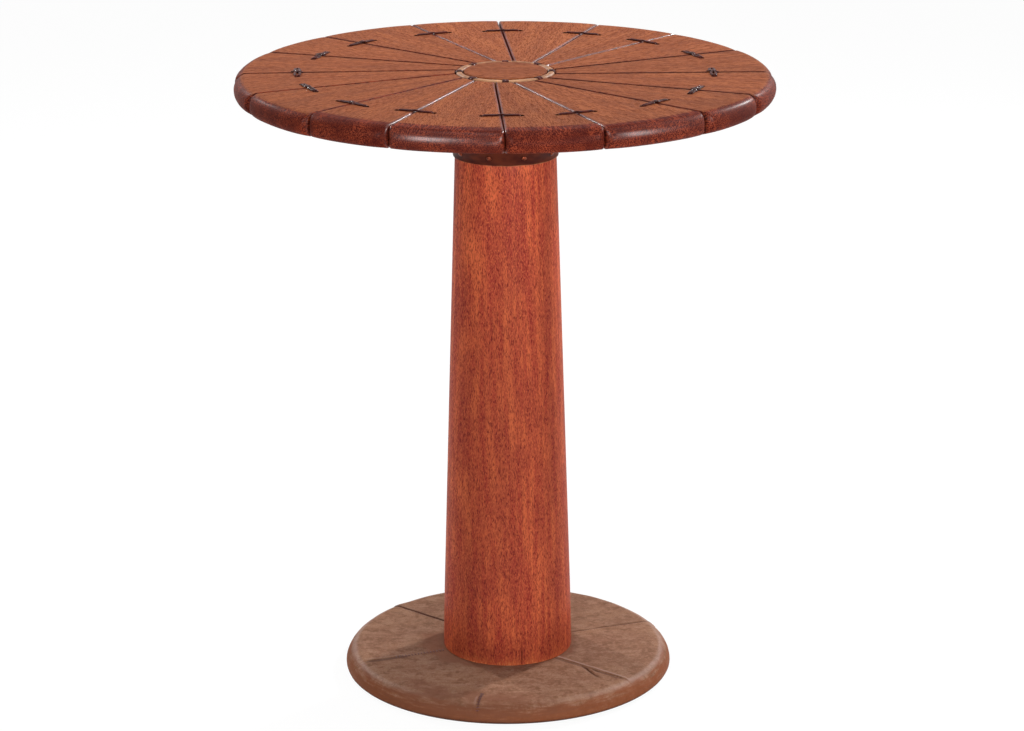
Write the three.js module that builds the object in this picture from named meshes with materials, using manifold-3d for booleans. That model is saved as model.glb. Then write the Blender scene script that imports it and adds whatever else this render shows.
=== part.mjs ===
// A round pedestal table: sixteen hardwood staves laced edge to edge, on a tapered column and a
// leather covered foot. Lengths are in millimetres, +Z is up, the front is -Y, and the origin is
// the centre of the foot's underside.
import * as THREE from "three";
import { mergeVertices } from "three/addons/utils/BufferGeometryUtils.js";
import Module from "manifold-3d";

const wasm = await Module();
wasm.setup();

// Clearances and working values
const fitGap = 0.3;
const cutOverrun = 2;
const mergeTolerance = 0.0001;
const fullTurn = Math.PI * 2;

// The top
const tableHeight = 744;
const topRadius = 317.5;
const staveThickness = 27;
const staveCount = 16;
const seamGap = 1.6;
const seamOffset = 14.6;
const staveEdgeChamfer = 1.3;
const staveCornerRadius = 7;
const rimRoundTop = 13.5;
const rimRoundBottom = 13;
// Handmade staves differ in width, so each seam is turned a little, as a share of one stave's angle
const seamTurnShares = [
  0, -0.085, 0.015, -0.1, -0.045, 0.04, 0.065, 0.01, 0.08, 0.01, 0.085, 0.01, 0.055, -0.025, 0.025, -0.08,
];
const tongueThickness = 12;
const tongueInnerRadius = 24;

// The ties that lace each stave to the next
const tieRadius = 240.7;
// Each tie was set by eye, so some stand a little nearer the centre or farther out
const tieRadiusShares = [
  0.967, 0.972, 0.994, 1, 1.006, 1.008, 0.996, 1, 1, 1, 1.008, 1, 1.01, 1, 1, 0.966,
];
const tieSpan = 44;
const tieHoleRadius = 3.6;
const laceThickness = 2.4;
const laceWidth = 4.8;
const knotLength = 9;
const knotWidth = 9.5;
const knotHeight = 4.6;

// The hub at the middle of the top
const hubDiscRadius = 47.5;
const hubDiscRise = 1.5;
const hubDiscEdge = 1.6;
const rawhideWidth = 8.4;
const rawhideRise = 0.8;
const rawhideCorner = 2.8;
const hubLaceThickness = 1.2;
const hubLaceWidth = 7;
const hubLaceWraps = 8;
const clampPlateThickness = 3;

// What stands under the top
const mountingPlateRadius = 150;
const mountingPlateThickness = 18;
const mountingPlateEdge = 5;
const capitalHeight = 51;
const capitalTopRadius = 98;
const capitalSpigotRadius = 24;
const capitalSpigotLength = 26;
const flareBow = 1.2;
const collarThickness = 2;
const collarHemThickness = 0.9;
const collarLap = 3;
const tackCount = 10;
const tackRise = 11;
const tackHeadRadius = 3.1;
const tackHeadHeight = 1.9;
const tackShankRadius = 0.9;
const tackShankLength = 10;
const firstTackAngle = THREE.MathUtils.degToRad(-106.9);

// The column
const columnHeadRadius = 60;
const columnFootRadius = 79.4;
const columnFootEdge = 1.5;
const columnBoreRadius = 7.5;

// The foot
const baseRadius = 200;
const baseThickness = 27;
const baseRoundTop = 19;
const baseRoundBottom = 6;
const coverThickness = 1.8;
const coverOpeningRadius = 60;
const coverHemWidth = 42;
const linerThickness = 1.5;
const linerInset = 24;

// The bolt that clamps it all, and the pins that stop it turning
const rodRadius = 6;
const rodTail = 1.2;
const nutAcrossFlats = 19;
const nutHeight = 7;
const washerRadius = 14;
const washerThickness = 2.5;
const nutPocketClearance = 2;
const dowelRadius = 5;
const dowelLength = 30;
const dowelOrbit = 40;

// Levels, worked out from the sizes above
const staveUnderside = tableHeight - staveThickness;
const tongueTop = staveUnderside + tongueThickness;
const clampPlateTop = tongueTop + clampPlateThickness;
const mountingPlateUnderside = staveUnderside - mountingPlateThickness;
const columnTop = mountingPlateUnderside - capitalHeight;
const collarLowerEdge = columnTop - collarLap;
const columnFoot = baseThickness;
const coverUnderside = linerThickness + fitGap;
const coreTop = baseThickness - coverThickness - fitGap;
const coreRebate = coverUnderside + coverThickness + fitGap;
const corePocketTop = coverUnderside + rodTail + nutHeight + washerThickness + fitGap * 2;
const nutPocketRadius = washerRadius + nutPocketClearance;
const rodClearRadius = rodRadius + fitGap;
const dowelClearRadius = dowelRadius + fitGap;

// Radii at the hub, from the disc outwards
const hubLaceInnerRadius = hubDiscRadius + fitGap;
const rawhideInnerRadius = hubLaceInnerRadius + hubLaceThickness + fitGap;
const rawhideOuterRadius = rawhideInnerRadius + rawhideWidth;
const hubLaceOuterRadius = rawhideOuterRadius + fitGap + hubLaceThickness;
const hubRecessRadius = hubLaceOuterRadius + fitGap;
const clampPlateRadius = hubRecessRadius - fitGap;

// How finely round shapes are faceted
const roundFacets = 36;
const hubFacets = 32;
const baseFacets = 48;
const rimFacetsPerStave = 4;
const pinFacets = 12;
const holeFacets = 8;
const knotFacets = 6;
const tackFacets = 8;
const tackHoleFacets = 6;
const cornerSteps = 2;
const edgeSteps = 3;
const flareSteps = 3;

const hardwood = { color: 0x8a4a30, roughness: 0.42, metalness: 0 };
const columnWood = { color: 0x9c3f2a, roughness: 0.35, metalness: 0 };
const hiddenWood = { color: 0x6d4630, roughness: 0.6, metalness: 0 };
const laceLeather = { color: 0x3a2624, roughness: 0.45, metalness: 0 };
const rawhide = { color: 0xc08a5a, roughness: 0.6, metalness: 0 };
const baseLeather = { color: 0x8a6350, roughness: 0.62, metalness: 0 };
const collarLeather = { color: 0x4a2218, roughness: 0.5, metalness: 0 };
const linerLeather = { color: 0x5c4334, roughness: 0.8, metalness: 0 };
const tackMetal = { color: 0x7a3a2a, roughness: 0.4, metalness: 0.8 };
const steel = { color: 0x8d8f92, roughness: 0.4, metalness: 1 };

const table = new THREE.Group();

// Adds one named piece to the table.
function addPiece(name, geometry, finish, parent = table) {
  geometry.computeVertexNormals();
  const piece = new THREE.Mesh(geometry, new THREE.MeshStandardMaterial(finish));
  piece.name = name;
  parent.add(piece);
  return piece;
}

// A closed geometry as a solid that can be cut and joined.
function solidFrom(geometry) {
  const loose = geometry.index ? geometry.toNonIndexed() : geometry;
  const points = new THREE.BufferGeometry();
  points.setAttribute("position", loose.getAttribute("position"));
  const merged = mergeVertices(points, mergeTolerance);
  const corners = [];
  for (let i = 0; i < merged.index.count; i += 3) {
    const [a, b, c] = [0, 1, 2].map((step) => merged.index.getX(i + step));
    if (a !== b && b !== c && c !== a) corners.push(a, b, c);
  }
  const vertProperties = new Float32Array(merged.getAttribute("position").array);
  const triVerts = new Uint32Array(corners);
  return new wasm.Manifold(new wasm.Mesh({ numProp: 3, vertProperties, triVerts }));
}

// A solid's faces as a geometry again.
function geometryFrom(solid) {
  const mesh = solid.getMesh();
  const geometry = new THREE.BufferGeometry();
  geometry.setAttribute("position", new THREE.BufferAttribute(mesh.vertProperties, 3));
  geometry.setIndex(new THREE.BufferAttribute(mesh.triVerts, 1));
  return geometry.toNonIndexed();
}

// Turns a closed outline of [radius, height] points about the Z axis.
function turned(outline, facets = roundFacets) {
  const points = outline.map(([radius, height]) => new THREE.Vector2(radius, height));
  if (THREE.ShapeUtils.area(points) < 0) points.reverse();
  points.push(points[0].clone());
  return new THREE.LatheGeometry(points, facets).rotateX(Math.PI / 2);
}

// A plain round bar between two heights.
function bar(radius, low, high, facets = pinFacets) {
  const length = high - low;
  const geometry = new THREE.CylinderGeometry(radius, radius, length, facets);
  return geometry.rotateX(Math.PI / 2).translate(0, 0, low + length / 2);
}

// Points on a quarter round, from one angle to another, for an outline.
function quarterRound(centreRadius, centreHeight, radius, fromTurn, steps = cornerSteps) {
  const points = [];
  for (let i = 0; i <= steps; i++) {
    const angle = (fromTurn + i / steps / 4) * fullTurn;
    points.push([centreRadius + radius * Math.cos(angle), centreHeight + radius * Math.sin(angle)]);
  }
  return points;
}

// The rounded edge of a disc, from its underside up to its top.
function roundedEdge(radius, low, high, roundLow, roundHigh, steps = cornerSteps) {
  return [
    ...quarterRound(radius - roundLow, low + roundLow, roundLow, -1 / 4, steps),
    ...quarterRound(radius - roundHigh, high - roundHigh, roundHigh, 0, steps),
  ];
}

// Each seam runs straight, leans past the centre at seamOffset, and meets the rim near its even share.
function seamLine(index) {
  const share = (index + seamTurnShares[index % staveCount]) / staveCount;
  const azimuth = share * fullTurn - Math.PI / 2;
  const heading = azimuth + Math.asin(seamOffset / topRadius);
  const along = new THREE.Vector2(Math.cos(heading), Math.sin(heading));
  const across = new THREE.Vector2(-along.y, along.x);
  return { heading, along, across };
}

// The point on a line beside a seam, sideways by offset, at a given distance from the centre.
function beside(seam, offset, radius) {
  const sideways = offset - seamOffset;
  const forward = Math.sqrt(radius * radius - sideways * sideways);
  return new THREE.Vector2()
    .addScaledVector(seam.along, forward)
    .addScaledVector(seam.across, sideways);
}

// Points of an arc about the centre, from one point to another.
function arcBetween(from, to, radius, steps) {
  const start = from.angle();
  const sweep = THREE.MathUtils.euclideanModulo(to.angle() - start + Math.PI, fullTurn) - Math.PI;
  const points = [];
  for (let i = 0; i <= steps; i++) {
    const angle = start + (sweep * i) / steps;
    points.push(new THREE.Vector2(radius * Math.cos(angle), radius * Math.sin(angle)));
  }
  return points;
}

// The plan of one stave, with the corners of its outer end rounded off.
function stavePlan(index) {
  const right = seamLine(index);
  const left = seamLine(index + 1);
  const half = seamGap / 2;
  const outer = topRadius + cutOverrun;
  const corners = [beside(right, half, outer), beside(left, -half, outer)];
  const easing = (staveCornerRadius + cutOverrun) / topRadius;
  const turn = new THREE.Vector2();
  const rim = arcBetween(
    corners[0].clone().rotateAround(turn, easing),
    corners[1].clone().rotateAround(turn, -easing),
    outer,
    rimFacetsPerStave,
  );
  const innerArc = arcBetween(
    beside(left, -half, tongueInnerRadius),
    beside(right, half, tongueInnerRadius),
    tongueInnerRadius,
    2,
  );
  const rightSide = beside(right, half, topRadius - staveCornerRadius);
  const leftSide = beside(left, -half, topRadius - staveCornerRadius);
  const rightRound = new THREE.QuadraticBezierCurve(rightSide, corners[0], rim[0]);
  const leftRound = new THREE.QuadraticBezierCurve(rim[rimFacetsPerStave], corners[1], leftSide);
  return [
    ...rightRound.getPoints(cornerSteps),
    ...rim.slice(1, -1),
    ...leftRound.getPoints(cornerSteps),
    ...innerArc,
  ];
}

// Where the lace of a seam goes down: one hole on each side of it.
function tiePlace(index) {
  const seam = seamLine(index);
  const centre = beside(seam, 0, tieRadius * tieRadiusShares[index % staveCount]);
  const reach = tieSpan / 2;
  const holes = [-reach, reach].map((step) => centre.clone().addScaledVector(seam.across, step));
  return { seam, centre, holes };
}

// A flat of each faceted hole faces the seam, for the lace to bear on.
function tieHole({ seam, holes }, side) {
  const low = staveUnderside - cutOverrun;
  const drill = bar(tieHoleRadius, low, tableHeight + cutOverrun, holeFacets)
    .rotateZ(fullTurn / holeFacets / 2 + seam.heading + Math.PI / 2)
    .translate(holes[side].x, holes[side].y, 0);
  return solidFrom(drill);
}

const rimSolid = solidFrom(
  turned(
    [
      [0, staveUnderside],
      ...roundedEdge(topRadius, staveUnderside, tableHeight, rimRoundBottom, rimRoundTop, edgeSteps),
      [0, tableHeight],
    ],
    staveCount * rimFacetsPerStave,
  ),
);
const hubRecess = solidFrom(bar(hubRecessRadius, tongueTop, tableHeight + cutOverrun, hubFacets));

function stave(index) {
  const wedge = new THREE.ExtrudeGeometry(new THREE.Shape(stavePlan(index)), {
    depth: staveThickness - staveEdgeChamfer * 2,
    bevelThickness: staveEdgeChamfer,
    bevelSize: staveEdgeChamfer,
    bevelOffset: -staveEdgeChamfer,
    bevelSegments: 1,
  }).translate(0, 0, staveUnderside + staveEdgeChamfer);
  return geometryFrom(
    solidFrom(wedge)
      .intersect(rimSolid)
      .subtract(hubRecess)
      .subtract(tieHole(tiePlace(index), 1))
      .subtract(tieHole(tiePlace(index + 1), 0)),
  );
}

for (let i = 0; i < staveCount; i++) {
  addPiece(`stave_${String(i + 1).padStart(2, "0")}`, stave(i), hardwood);
}

// Sweeps an oval section along a closed path that lies in the XZ plane.
function sweptLoop(path, halfThickness, halfWidth, sides = 6) {
  const count = path.length;
  const rings = path.map((point, i) => {
    const before = path[(i + count - 1) % count];
    const after = path[(i + 1) % count];
    const arriving = point.clone().sub(before).normalize();
    const leaving = after.clone().sub(point).normalize();
    const along = arriving.clone().add(leaving).normalize();
    const outward = new THREE.Vector2(along.y, -along.x);
    const mitre = halfThickness / along.dot(arriving);
    return Array.from({ length: sides }, (_, side) => {
      const angle = (side / sides) * fullTurn;
      const lift = outward.clone().multiplyScalar(mitre * Math.sin(angle));
      return [point.x + lift.x, halfWidth * Math.cos(angle), point.y + lift.y];
    });
  });
  const corners = [];
  for (let i = 0; i < count; i++) {
    const here = rings[i];
    const next = rings[(i + 1) % count];
    for (let side = 0; side < sides; side++) {
      const other = (side + 1) % sides;
      corners.push(here[side], next[other], here[other], here[side], next[side], next[other]);
    }
  }
  const geometry = new THREE.BufferGeometry();
  geometry.setAttribute("position", new THREE.Float32BufferAttribute(corners.flat(), 3));
  return geometry;
}

// The lace goes round the wood between its two holes, and rises under the knot at the seam.
function tieGeometry() {
  const standOff = laceThickness / 2 + fitGap;
  const reach = tieSpan / 2 - tieHoleRadius * Math.cos(fullTurn / holeFacets / 2);
  const knotAxis = knotHeight / 2 + fitGap;
  const corner = (x, z, fromTurn) =>
    quarterRound(x, z, standOff, fromTurn, 1).map(([across, height]) => new THREE.Vector2(across, height));
  const path = [
    new THREE.Vector2(knotLength / 2, knotAxis),
    new THREE.Vector2(-knotLength / 2, knotAxis),
    ...corner(-reach, 0, 1 / 4),
    ...corner(-reach, -staveThickness, 1 / 2),
    ...corner(reach, -staveThickness, 3 / 4),
    ...corner(reach, 0, 0),
  ];
  const wrapShares = [
    [0, -1 / 2],
    [0.8, -1 / 2],
    [1, -1 / 6],
    [1, 1 / 6],
    [0.8, 1 / 2],
    [0, 1 / 2],
  ];
  const knotOutline = wrapShares.map(([wide, along]) => [(wide * knotWidth) / 2, along * knotLength]);
  const knot = turned(knotOutline, knotFacets)
    .rotateY(Math.PI / 2)
    .scale(1, 1, knotHeight / knotWidth)
    .translate(0, 0, knotAxis);
  const loop = solidFrom(sweptLoop(path, laceThickness / 2, laceWidth / 2));
  return geometryFrom(loop.add(solidFrom(knot)));
}

for (let i = 0; i < staveCount; i++) {
  const { seam, centre } = tiePlace(i);
  const tie = addPiece(`tie_${String(i + 1).padStart(2, "0")}`, tieGeometry(), laceLeather);
  tie.position.set(centre.x, centre.y, tableHeight);
  tie.rotation.z = seam.heading + Math.PI / 2;
}

// The clamp plate sits on the staves' tongues and holds all sixteen down with one nut.
const clampPlate = turned(
  [
    [rodClearRadius, tongueTop],
    [clampPlateRadius, tongueTop],
    [clampPlateRadius, clampPlateTop],
    [rodClearRadius, clampPlateTop],
  ],
  hubFacets,
);
addPiece("clamp_plate", clampPlate, steel);

const upperNutTop = clampPlateTop + fitGap + nutHeight;
const upperPocketTop = upperNutTop + rodTail + fitGap;
const hubDiscUnderside = clampPlateTop + fitGap;
const hubDiscTop = tableHeight + hubDiscRise;
const hubDisc = turned(
  [
    [nutPocketRadius, hubDiscUnderside],
    [hubDiscRadius, hubDiscUnderside],
    ...quarterRound(hubDiscRadius - hubDiscEdge, hubDiscTop - hubDiscEdge, hubDiscEdge, 0),
    [0, hubDiscTop],
    [0, upperPocketTop],
    [nutPocketRadius, upperPocketTop],
  ],
  hubFacets,
);
addPiece("hub_disc", hubDisc, hardwood);

// A ring's section with four eased corners, grown outwards by some amount.
function ringSection(grown) {
  const inner = rawhideInnerRadius - grown;
  const outer = rawhideOuterRadius + grown;
  const low = clampPlateTop + hubLaceThickness + fitGap * 2 - grown;
  const high = tableHeight + rawhideRise + grown;
  const round = rawhideCorner + grown;
  return [
    ...quarterRound(outer - round, low + round, round, 3 / 4, 1),
    ...quarterRound(outer - round, high - round, round, 0, 1),
    ...quarterRound(inner + round, high - round, round, 1 / 4, 1),
    ...quarterRound(inner + round, low + round, round, 1 / 2, 1),
  ];
}
addPiece("rawhide_ring", turned(ringSection(0), hubFacets), rawhide);

// The hub lace runs under the ring and comes up over it at even steps.
function hubLace() {
  const outside = solidFrom(turned(ringSection(fitGap + hubLaceThickness), hubFacets));
  const inside = solidFrom(turned(ringSection(fitGap), hubFacets));
  const layer = outside.subtract(inside);
  const underRun = clampPlateTop + fitGap + hubLaceThickness;
  const wrapCentre = (rawhideInnerRadius + rawhideOuterRadius) / 2;
  const wrapLength = rawhideWidth + (fitGap + hubLaceThickness + cutOverrun) * 2;
  const wrapHeight = tableHeight - clampPlateTop + cutOverrun * 2;
  let keep = solidFrom(bar(hubRecessRadius, underRun - hubLaceThickness * 2, underRun, hubFacets));
  for (let i = 0; i < hubLaceWraps; i++) {
    const angle = (i / hubLaceWraps) * fullTurn - Math.PI / 2;
    const block = new THREE.BoxGeometry(wrapLength, hubLaceWidth, wrapHeight)
      .translate(wrapCentre, 0, clampPlateTop + wrapHeight / 2)
      .rotateZ(angle);
    keep = keep.add(solidFrom(block));
  }
  return geometryFrom(layer.intersect(keep));
}
addPiece("hub_lace", hubLace(), laceLeather);

// A hole for a dowel, drilled up and down from a joint between two pieces.
function dowelHole(joint, angle) {
  const reach = dowelLength / 2 + fitGap;
  const pin = bar(dowelClearRadius, joint - reach, joint + reach);
  return solidFrom(pin.translate(dowelOrbit * Math.cos(angle), dowelOrbit * Math.sin(angle), 0));
}

function addDowel(name, joint, angle) {
  const reach = dowelLength / 2;
  const pin = bar(dowelRadius, joint - reach, joint + reach);
  addPiece(name, pin.translate(dowelOrbit * Math.cos(angle), dowelOrbit * Math.sin(angle), 0), hiddenWood);
}

const headDowelAngle = Math.PI / 2;
const plateDowelAngle = 0;
const footDowelAngle = Math.PI;

const plateLow = mountingPlateUnderside;
const plateOutline = [
  [rodClearRadius, plateLow],
  ...roundedEdge(mountingPlateRadius, plateLow, staveUnderside, mountingPlateEdge, mountingPlateEdge, 1),
  [rodClearRadius, staveUnderside],
];
const mountingPlate = solidFrom(turned(plateOutline)).subtract(dowelHole(plateLow, plateDowelAngle));
addPiece("mounting_plate", geometryFrom(mountingPlate), hiddenWood);

// The flare under the top: its radius at a share of the way up, for the wood or for the leather on it.
function flareRadius(share, standOff) {
  return columnHeadRadius + (capitalTopRadius - columnHeadRadius) * share ** flareBow + standOff;
}

// The flare's outline from the row of tacks up to a share of the way up.
const tackShare = (tackRise - collarLap) / capitalHeight;
function flareOutline(standOff, highShare) {
  const points = [];
  for (let i = 0; i <= flareSteps; i++) {
    const share = tackShare + ((highShare - tackShare) * i) / flareSteps;
    points.push([flareRadius(share, standOff), columnTop + capitalHeight * share]);
  }
  return points;
}

// The place and lean of each tack on the flare.
const flareSlope =
  ((capitalTopRadius - columnHeadRadius) * flareBow * tackShare ** (flareBow - 1)) / capitalHeight;
const tackLean = Math.atan(flareSlope);

function placeTack(geometry, index) {
  const seat = flareRadius(tackShare, (fitGap + collarThickness) / Math.cos(tackLean));
  return geometry
    .rotateY(Math.PI / 2 + tackLean)
    .translate(seat, 0, columnTop + capitalHeight * tackShare)
    .rotateZ(firstTackAngle + (index / tackCount) * fullTurn);
}

function tackGeometry() {
  const underHead = fitGap;
  const domeShares = [
    [1, 0],
    [0.78, 0.68],
    [0, 1],
  ];
  return turned(
    [
      ...domeShares.map(([wide, high]) => [wide * tackHeadRadius, underHead + high * tackHeadHeight]),
      [0, -tackShankLength],
      [tackShankRadius, -tackShankLength + tackShankRadius * 2],
      [tackShankRadius, underHead],
    ],
    tackFacets,
  );
}

let tackHoles = null;
for (let i = 0; i < tackCount; i++) {
  const drill = bar(tackShankRadius + fitGap, -tackShankLength - fitGap, cutOverrun, tackHoleFacets);
  const hole = solidFrom(placeTack(drill, i));
  tackHoles = tackHoles ? tackHoles.add(hole) : hole;
  addPiece(`tack_${String(i + 1).padStart(2, "0")}`, placeTack(tackGeometry(), i), tackMetal);
}

const spigotFoot = columnTop - capitalSpigotLength;
const capital = solidFrom(
  turned([
    [rodClearRadius, spigotFoot],
    [capitalSpigotRadius, spigotFoot],
    [capitalSpigotRadius, columnTop],
    [columnHeadRadius, columnTop],
    ...flareOutline(0, 1),
    [rodClearRadius, mountingPlateUnderside],
  ]),
)
  .subtract(dowelHole(plateLow, plateDowelAngle))
  .subtract(dowelHole(columnTop, headDowelAngle))
  .subtract(tackHoles);
addPiece("capital", geometryFrom(capital), hiddenWood);

// The leather collar laps over the joint between the column and the flared block above it.
function columnRadius(height) {
  const share = (height - columnFoot) / (columnTop - columnFoot);
  return columnFootRadius + (columnHeadRadius - columnFootRadius) * share;
}
const collarInside = columnRadius(collarLowerEdge) + fitGap;
const collarTopShare = (capitalHeight - fitGap) / capitalHeight;
const collarOutside = flareOutline((fitGap + collarThickness) / Math.cos(tackLean), collarTopShare);
const collarInner = flareOutline(fitGap / Math.cos(tackLean), collarTopShare).reverse();
const collar = solidFrom(
  turned([
    [collarInside, collarLowerEdge],
    [collarInside + collarHemThickness, collarLowerEdge],
    ...collarOutside,
    ...collarInner,
    [collarInside, columnTop],
  ]),
).subtract(tackHoles);
addPiece("leather_collar", geometryFrom(collar), collarLeather);

const columnBoss = columnFoot - coverThickness;
const socketFoot = spigotFoot - fitGap;
const column = solidFrom(
  turned([
    [columnBoreRadius, columnBoss],
    [coverOpeningRadius - fitGap, columnBoss],
    [coverOpeningRadius - fitGap, columnFoot],
    [columnFootRadius - columnFootEdge, columnFoot],
    [columnRadius(columnFoot + columnFootEdge), columnFoot + columnFootEdge],
    [columnHeadRadius, columnTop],
    [capitalSpigotRadius + fitGap, columnTop],
    [capitalSpigotRadius + fitGap, socketFoot],
    [columnBoreRadius, socketFoot],
  ]),
)
  .subtract(dowelHole(columnTop, headDowelAngle))
  .subtract(dowelHole(columnBoss, footDowelAngle));
addPiece("column", geometryFrom(column), columnWood);

addDowel("plate_dowel", plateLow, plateDowelAngle);
addDowel("head_dowel", columnTop, headDowelAngle);
addDowel("foot_dowel", columnBoss, footDowelAngle);

// The foot is a wooden disc in a sewn leather cover, closed underneath by a liner.
const hemInner = baseRadius - coverHemWidth;
const coreSetBack = coverThickness + fitGap;
const core = solidFrom(
  turned(
    [
      [nutPocketRadius, coverUnderside],
      [hemInner - fitGap, coverUnderside],
      [hemInner - fitGap, coreRebate],
      ...roundedEdge(
        baseRadius - coreSetBack,
        coreRebate,
        coreTop,
        baseRoundBottom - coreSetBack,
        baseRoundTop - coreSetBack,
      ),
      [rodClearRadius, coreTop],
      [rodClearRadius, corePocketTop],
      [nutPocketRadius, corePocketTop],
    ],
    baseFacets,
  ),
).subtract(dowelHole(columnBoss, footDowelAngle));
addPiece("base_core", geometryFrom(core), hiddenWood);

const coverOutside = roundedEdge(
  baseRadius,
  coverUnderside,
  baseThickness,
  baseRoundBottom,
  baseRoundTop,
  edgeSteps,
);
const coverInside = roundedEdge(
  baseRadius - coverThickness,
  coverUnderside + coverThickness,
  baseThickness - coverThickness,
  baseRoundBottom - coverThickness,
  baseRoundTop - coverThickness,
);
const cover = turned(
  [
    [hemInner, coverUnderside],
    ...coverOutside,
    [coverOpeningRadius, baseThickness],
    [coverOpeningRadius, baseThickness - coverThickness],
    ...coverInside.reverse(),
    [hemInner, coverUnderside + coverThickness],
  ],
  baseFacets,
);
addPiece("base_cover", cover, baseLeather);

const linerRadius = baseRadius - linerInset;
addPiece("base_liner", bar(linerRadius, 0, linerThickness, baseFacets), linerLeather);

// The threaded rod from the foot to the hub, its nuts and its washer.
function hexNut(low) {
  const cornerRadius = nutAcrossFlats / 2 / Math.cos(fullTurn / 12);
  const corners = Array.from({ length: 6 }, (_, i) => {
    const angle = (i / 6) * fullTurn;
    return new THREE.Vector2(cornerRadius * Math.cos(angle), cornerRadius * Math.sin(angle));
  });
  const shape = new THREE.Shape(corners);
  const bore = new THREE.Path().absarc(0, 0, rodClearRadius, 0, fullTurn);
  shape.holes.push(bore);
  const options = { depth: nutHeight, bevelEnabled: false, curveSegments: pinFacets };
  return new THREE.ExtrudeGeometry(shape, options).translate(0, 0, low);
}

const washerUnderside = corePocketTop - fitGap - washerThickness;
const lowerNutUnderside = washerUnderside - nutHeight;
const washer = turned(
  [
    [rodClearRadius, washerUnderside],
    [washerRadius, washerUnderside],
    [washerRadius, washerUnderside + washerThickness],
    [rodClearRadius, washerUnderside + washerThickness],
  ],
  pinFacets,
);
addPiece("foot_washer", washer, steel);
addPiece("foot_nut", hexNut(lowerNutUnderside), steel);
addPiece("hub_nut", hexNut(clampPlateTop + fitGap), steel);
addPiece("tie_rod", bar(rodRadius, lowerNutUnderside - rodTail, upperNutTop + rodTail), steel);

export default table;
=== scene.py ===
# %% [markdown]
# A round pedestal table. Sixteen wedge staves of oiled hardwood are laced edge to edge with dark leather
# and stand on a tapered column, a flared leather collar and a leather covered foot.
#
# The solids come in as a fixed frame, already in their places. Each piece that shows is then modelled
# again with finer edges, and takes its place from the frame's own boxes. The hidden hardware stays.

# %% Load the frame
import math

import bmesh
import bpy
from mathutils import Matrix, Quaternion, Vector, noise


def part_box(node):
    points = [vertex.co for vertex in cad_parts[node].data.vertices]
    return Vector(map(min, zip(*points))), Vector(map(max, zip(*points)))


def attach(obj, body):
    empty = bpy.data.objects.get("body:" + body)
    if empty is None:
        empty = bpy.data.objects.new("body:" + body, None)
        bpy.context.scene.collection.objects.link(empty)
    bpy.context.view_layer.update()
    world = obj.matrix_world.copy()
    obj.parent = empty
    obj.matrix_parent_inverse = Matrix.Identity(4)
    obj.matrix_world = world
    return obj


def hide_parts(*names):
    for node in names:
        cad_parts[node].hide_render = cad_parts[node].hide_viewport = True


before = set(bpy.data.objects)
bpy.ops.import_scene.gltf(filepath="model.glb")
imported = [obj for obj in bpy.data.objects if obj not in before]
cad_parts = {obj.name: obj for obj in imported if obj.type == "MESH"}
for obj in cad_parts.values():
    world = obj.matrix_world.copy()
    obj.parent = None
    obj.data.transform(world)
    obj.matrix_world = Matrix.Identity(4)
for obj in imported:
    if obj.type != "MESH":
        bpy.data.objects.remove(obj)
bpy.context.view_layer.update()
MM = 0.001
print("nodes in the frame:", len(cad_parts))

# %% [markdown]
# The camera comes first, so that everything after it can be judged through the same lens. The photograph
# was taken from well back with a long lens: the foot looks rounder than the top, but only a little. The
# place and tilt were worked out from where the seams, ties and edges fall in the picture.

# %% Camera
PICTURE_WIDTH = 1024
FOCAL_PIXELS = 3206.9
CAMERA_PLACE = Vector((6.6, -3682.4, 1527.4)) * MM
CAMERA_DIP = 0.30106
CAMERA_ROLL = -0.0035

def new_object(name, data):
    """An object in the scene."""
    made = bpy.data.objects.new(name, data)
    bpy.context.scene.collection.objects.link(made)
    return made


camera = new_object("camera", bpy.data.cameras.new("camera"))
camera.data.lens = FOCAL_PIXELS / PICTURE_WIDTH * camera.data.sensor_width
camera.location = CAMERA_PLACE
camera.rotation_mode = "QUATERNION"
tilt = Quaternion((1, 0, 0), math.pi / 2 - CAMERA_DIP)
camera.rotation_quaternion = tilt @ Quaternion((0, 0, 1), CAMERA_ROLL)
bpy.context.scene.camera = camera
bpy.context.scene.view_settings.view_transform = "Standard"
print("lens, mm:", round(camera.data.lens, 1))

# %% [markdown]
# Sizes are read from the frame wherever a piece has a node there, so that the fine piece fits the solid
# that it stands for. Only what is finer than the solids, such as how round an edge is, is written here.

# %% Sizes from the frame
def reach(node):
    """How far a node goes out from the table's axis."""
    low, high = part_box(node)
    return max(high.x, high.y, -low.x, -low.y)


def levels(node):
    """The heights of a node's lowest and highest point."""
    low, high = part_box(node)
    return low.z, high.z


TOP_RADIUS = 317.5 * MM
TOP_LOW, TOP_HIGH = levels("stave_01")
STAVE_COUNT = 16
SEAM_OFFSET = 14.6 * MM
SEAM_GAP = 1.6 * MM
HUB_RECESS = 59.5 * MM
TONGUE_INNER = 24 * MM
TONGUE_HIGH = levels("clamp_plate")[0]
print("top from", round(TOP_LOW / MM, 1), "to", round(TOP_HIGH / MM, 1), "mm")


# %% [markdown]
# A few small helpers serve every material. Colours are written as the hex values that a colour picker
# shows, and one function turns them into the linear numbers that the shaders work in. Another adds a
# node with its settings and its links in one go, which keeps each material readable as a list of steps.

# %% Helpers for materials
def colour(hex_value):
    """An sRGB hex colour as linear red, green, blue and alpha."""
    channels = [int(hex_value[i : i + 2], 16) / 255 for i in (1, 3, 5)]
    linear = [c / 12.92 if c <= 0.04045 else ((c + 0.055) / 1.055) ** 2.4 for c in channels]
    return (*linear, 1)


def add_node(material, kind, settings=None, sockets=None):
    """Adds a node, sets its properties, and fills or links its sockets, by name or by number."""
    node = material.node_tree.nodes.new(kind)
    for name, value in (settings or {}).items():
        setattr(node, name, value)
    for key, value in (sockets or {}).items():
        if isinstance(value, bpy.types.NodeSocket):
            material.node_tree.links.new(value, node.inputs[key])
        else:
            node.inputs[key].default_value = value
    return node


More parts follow.
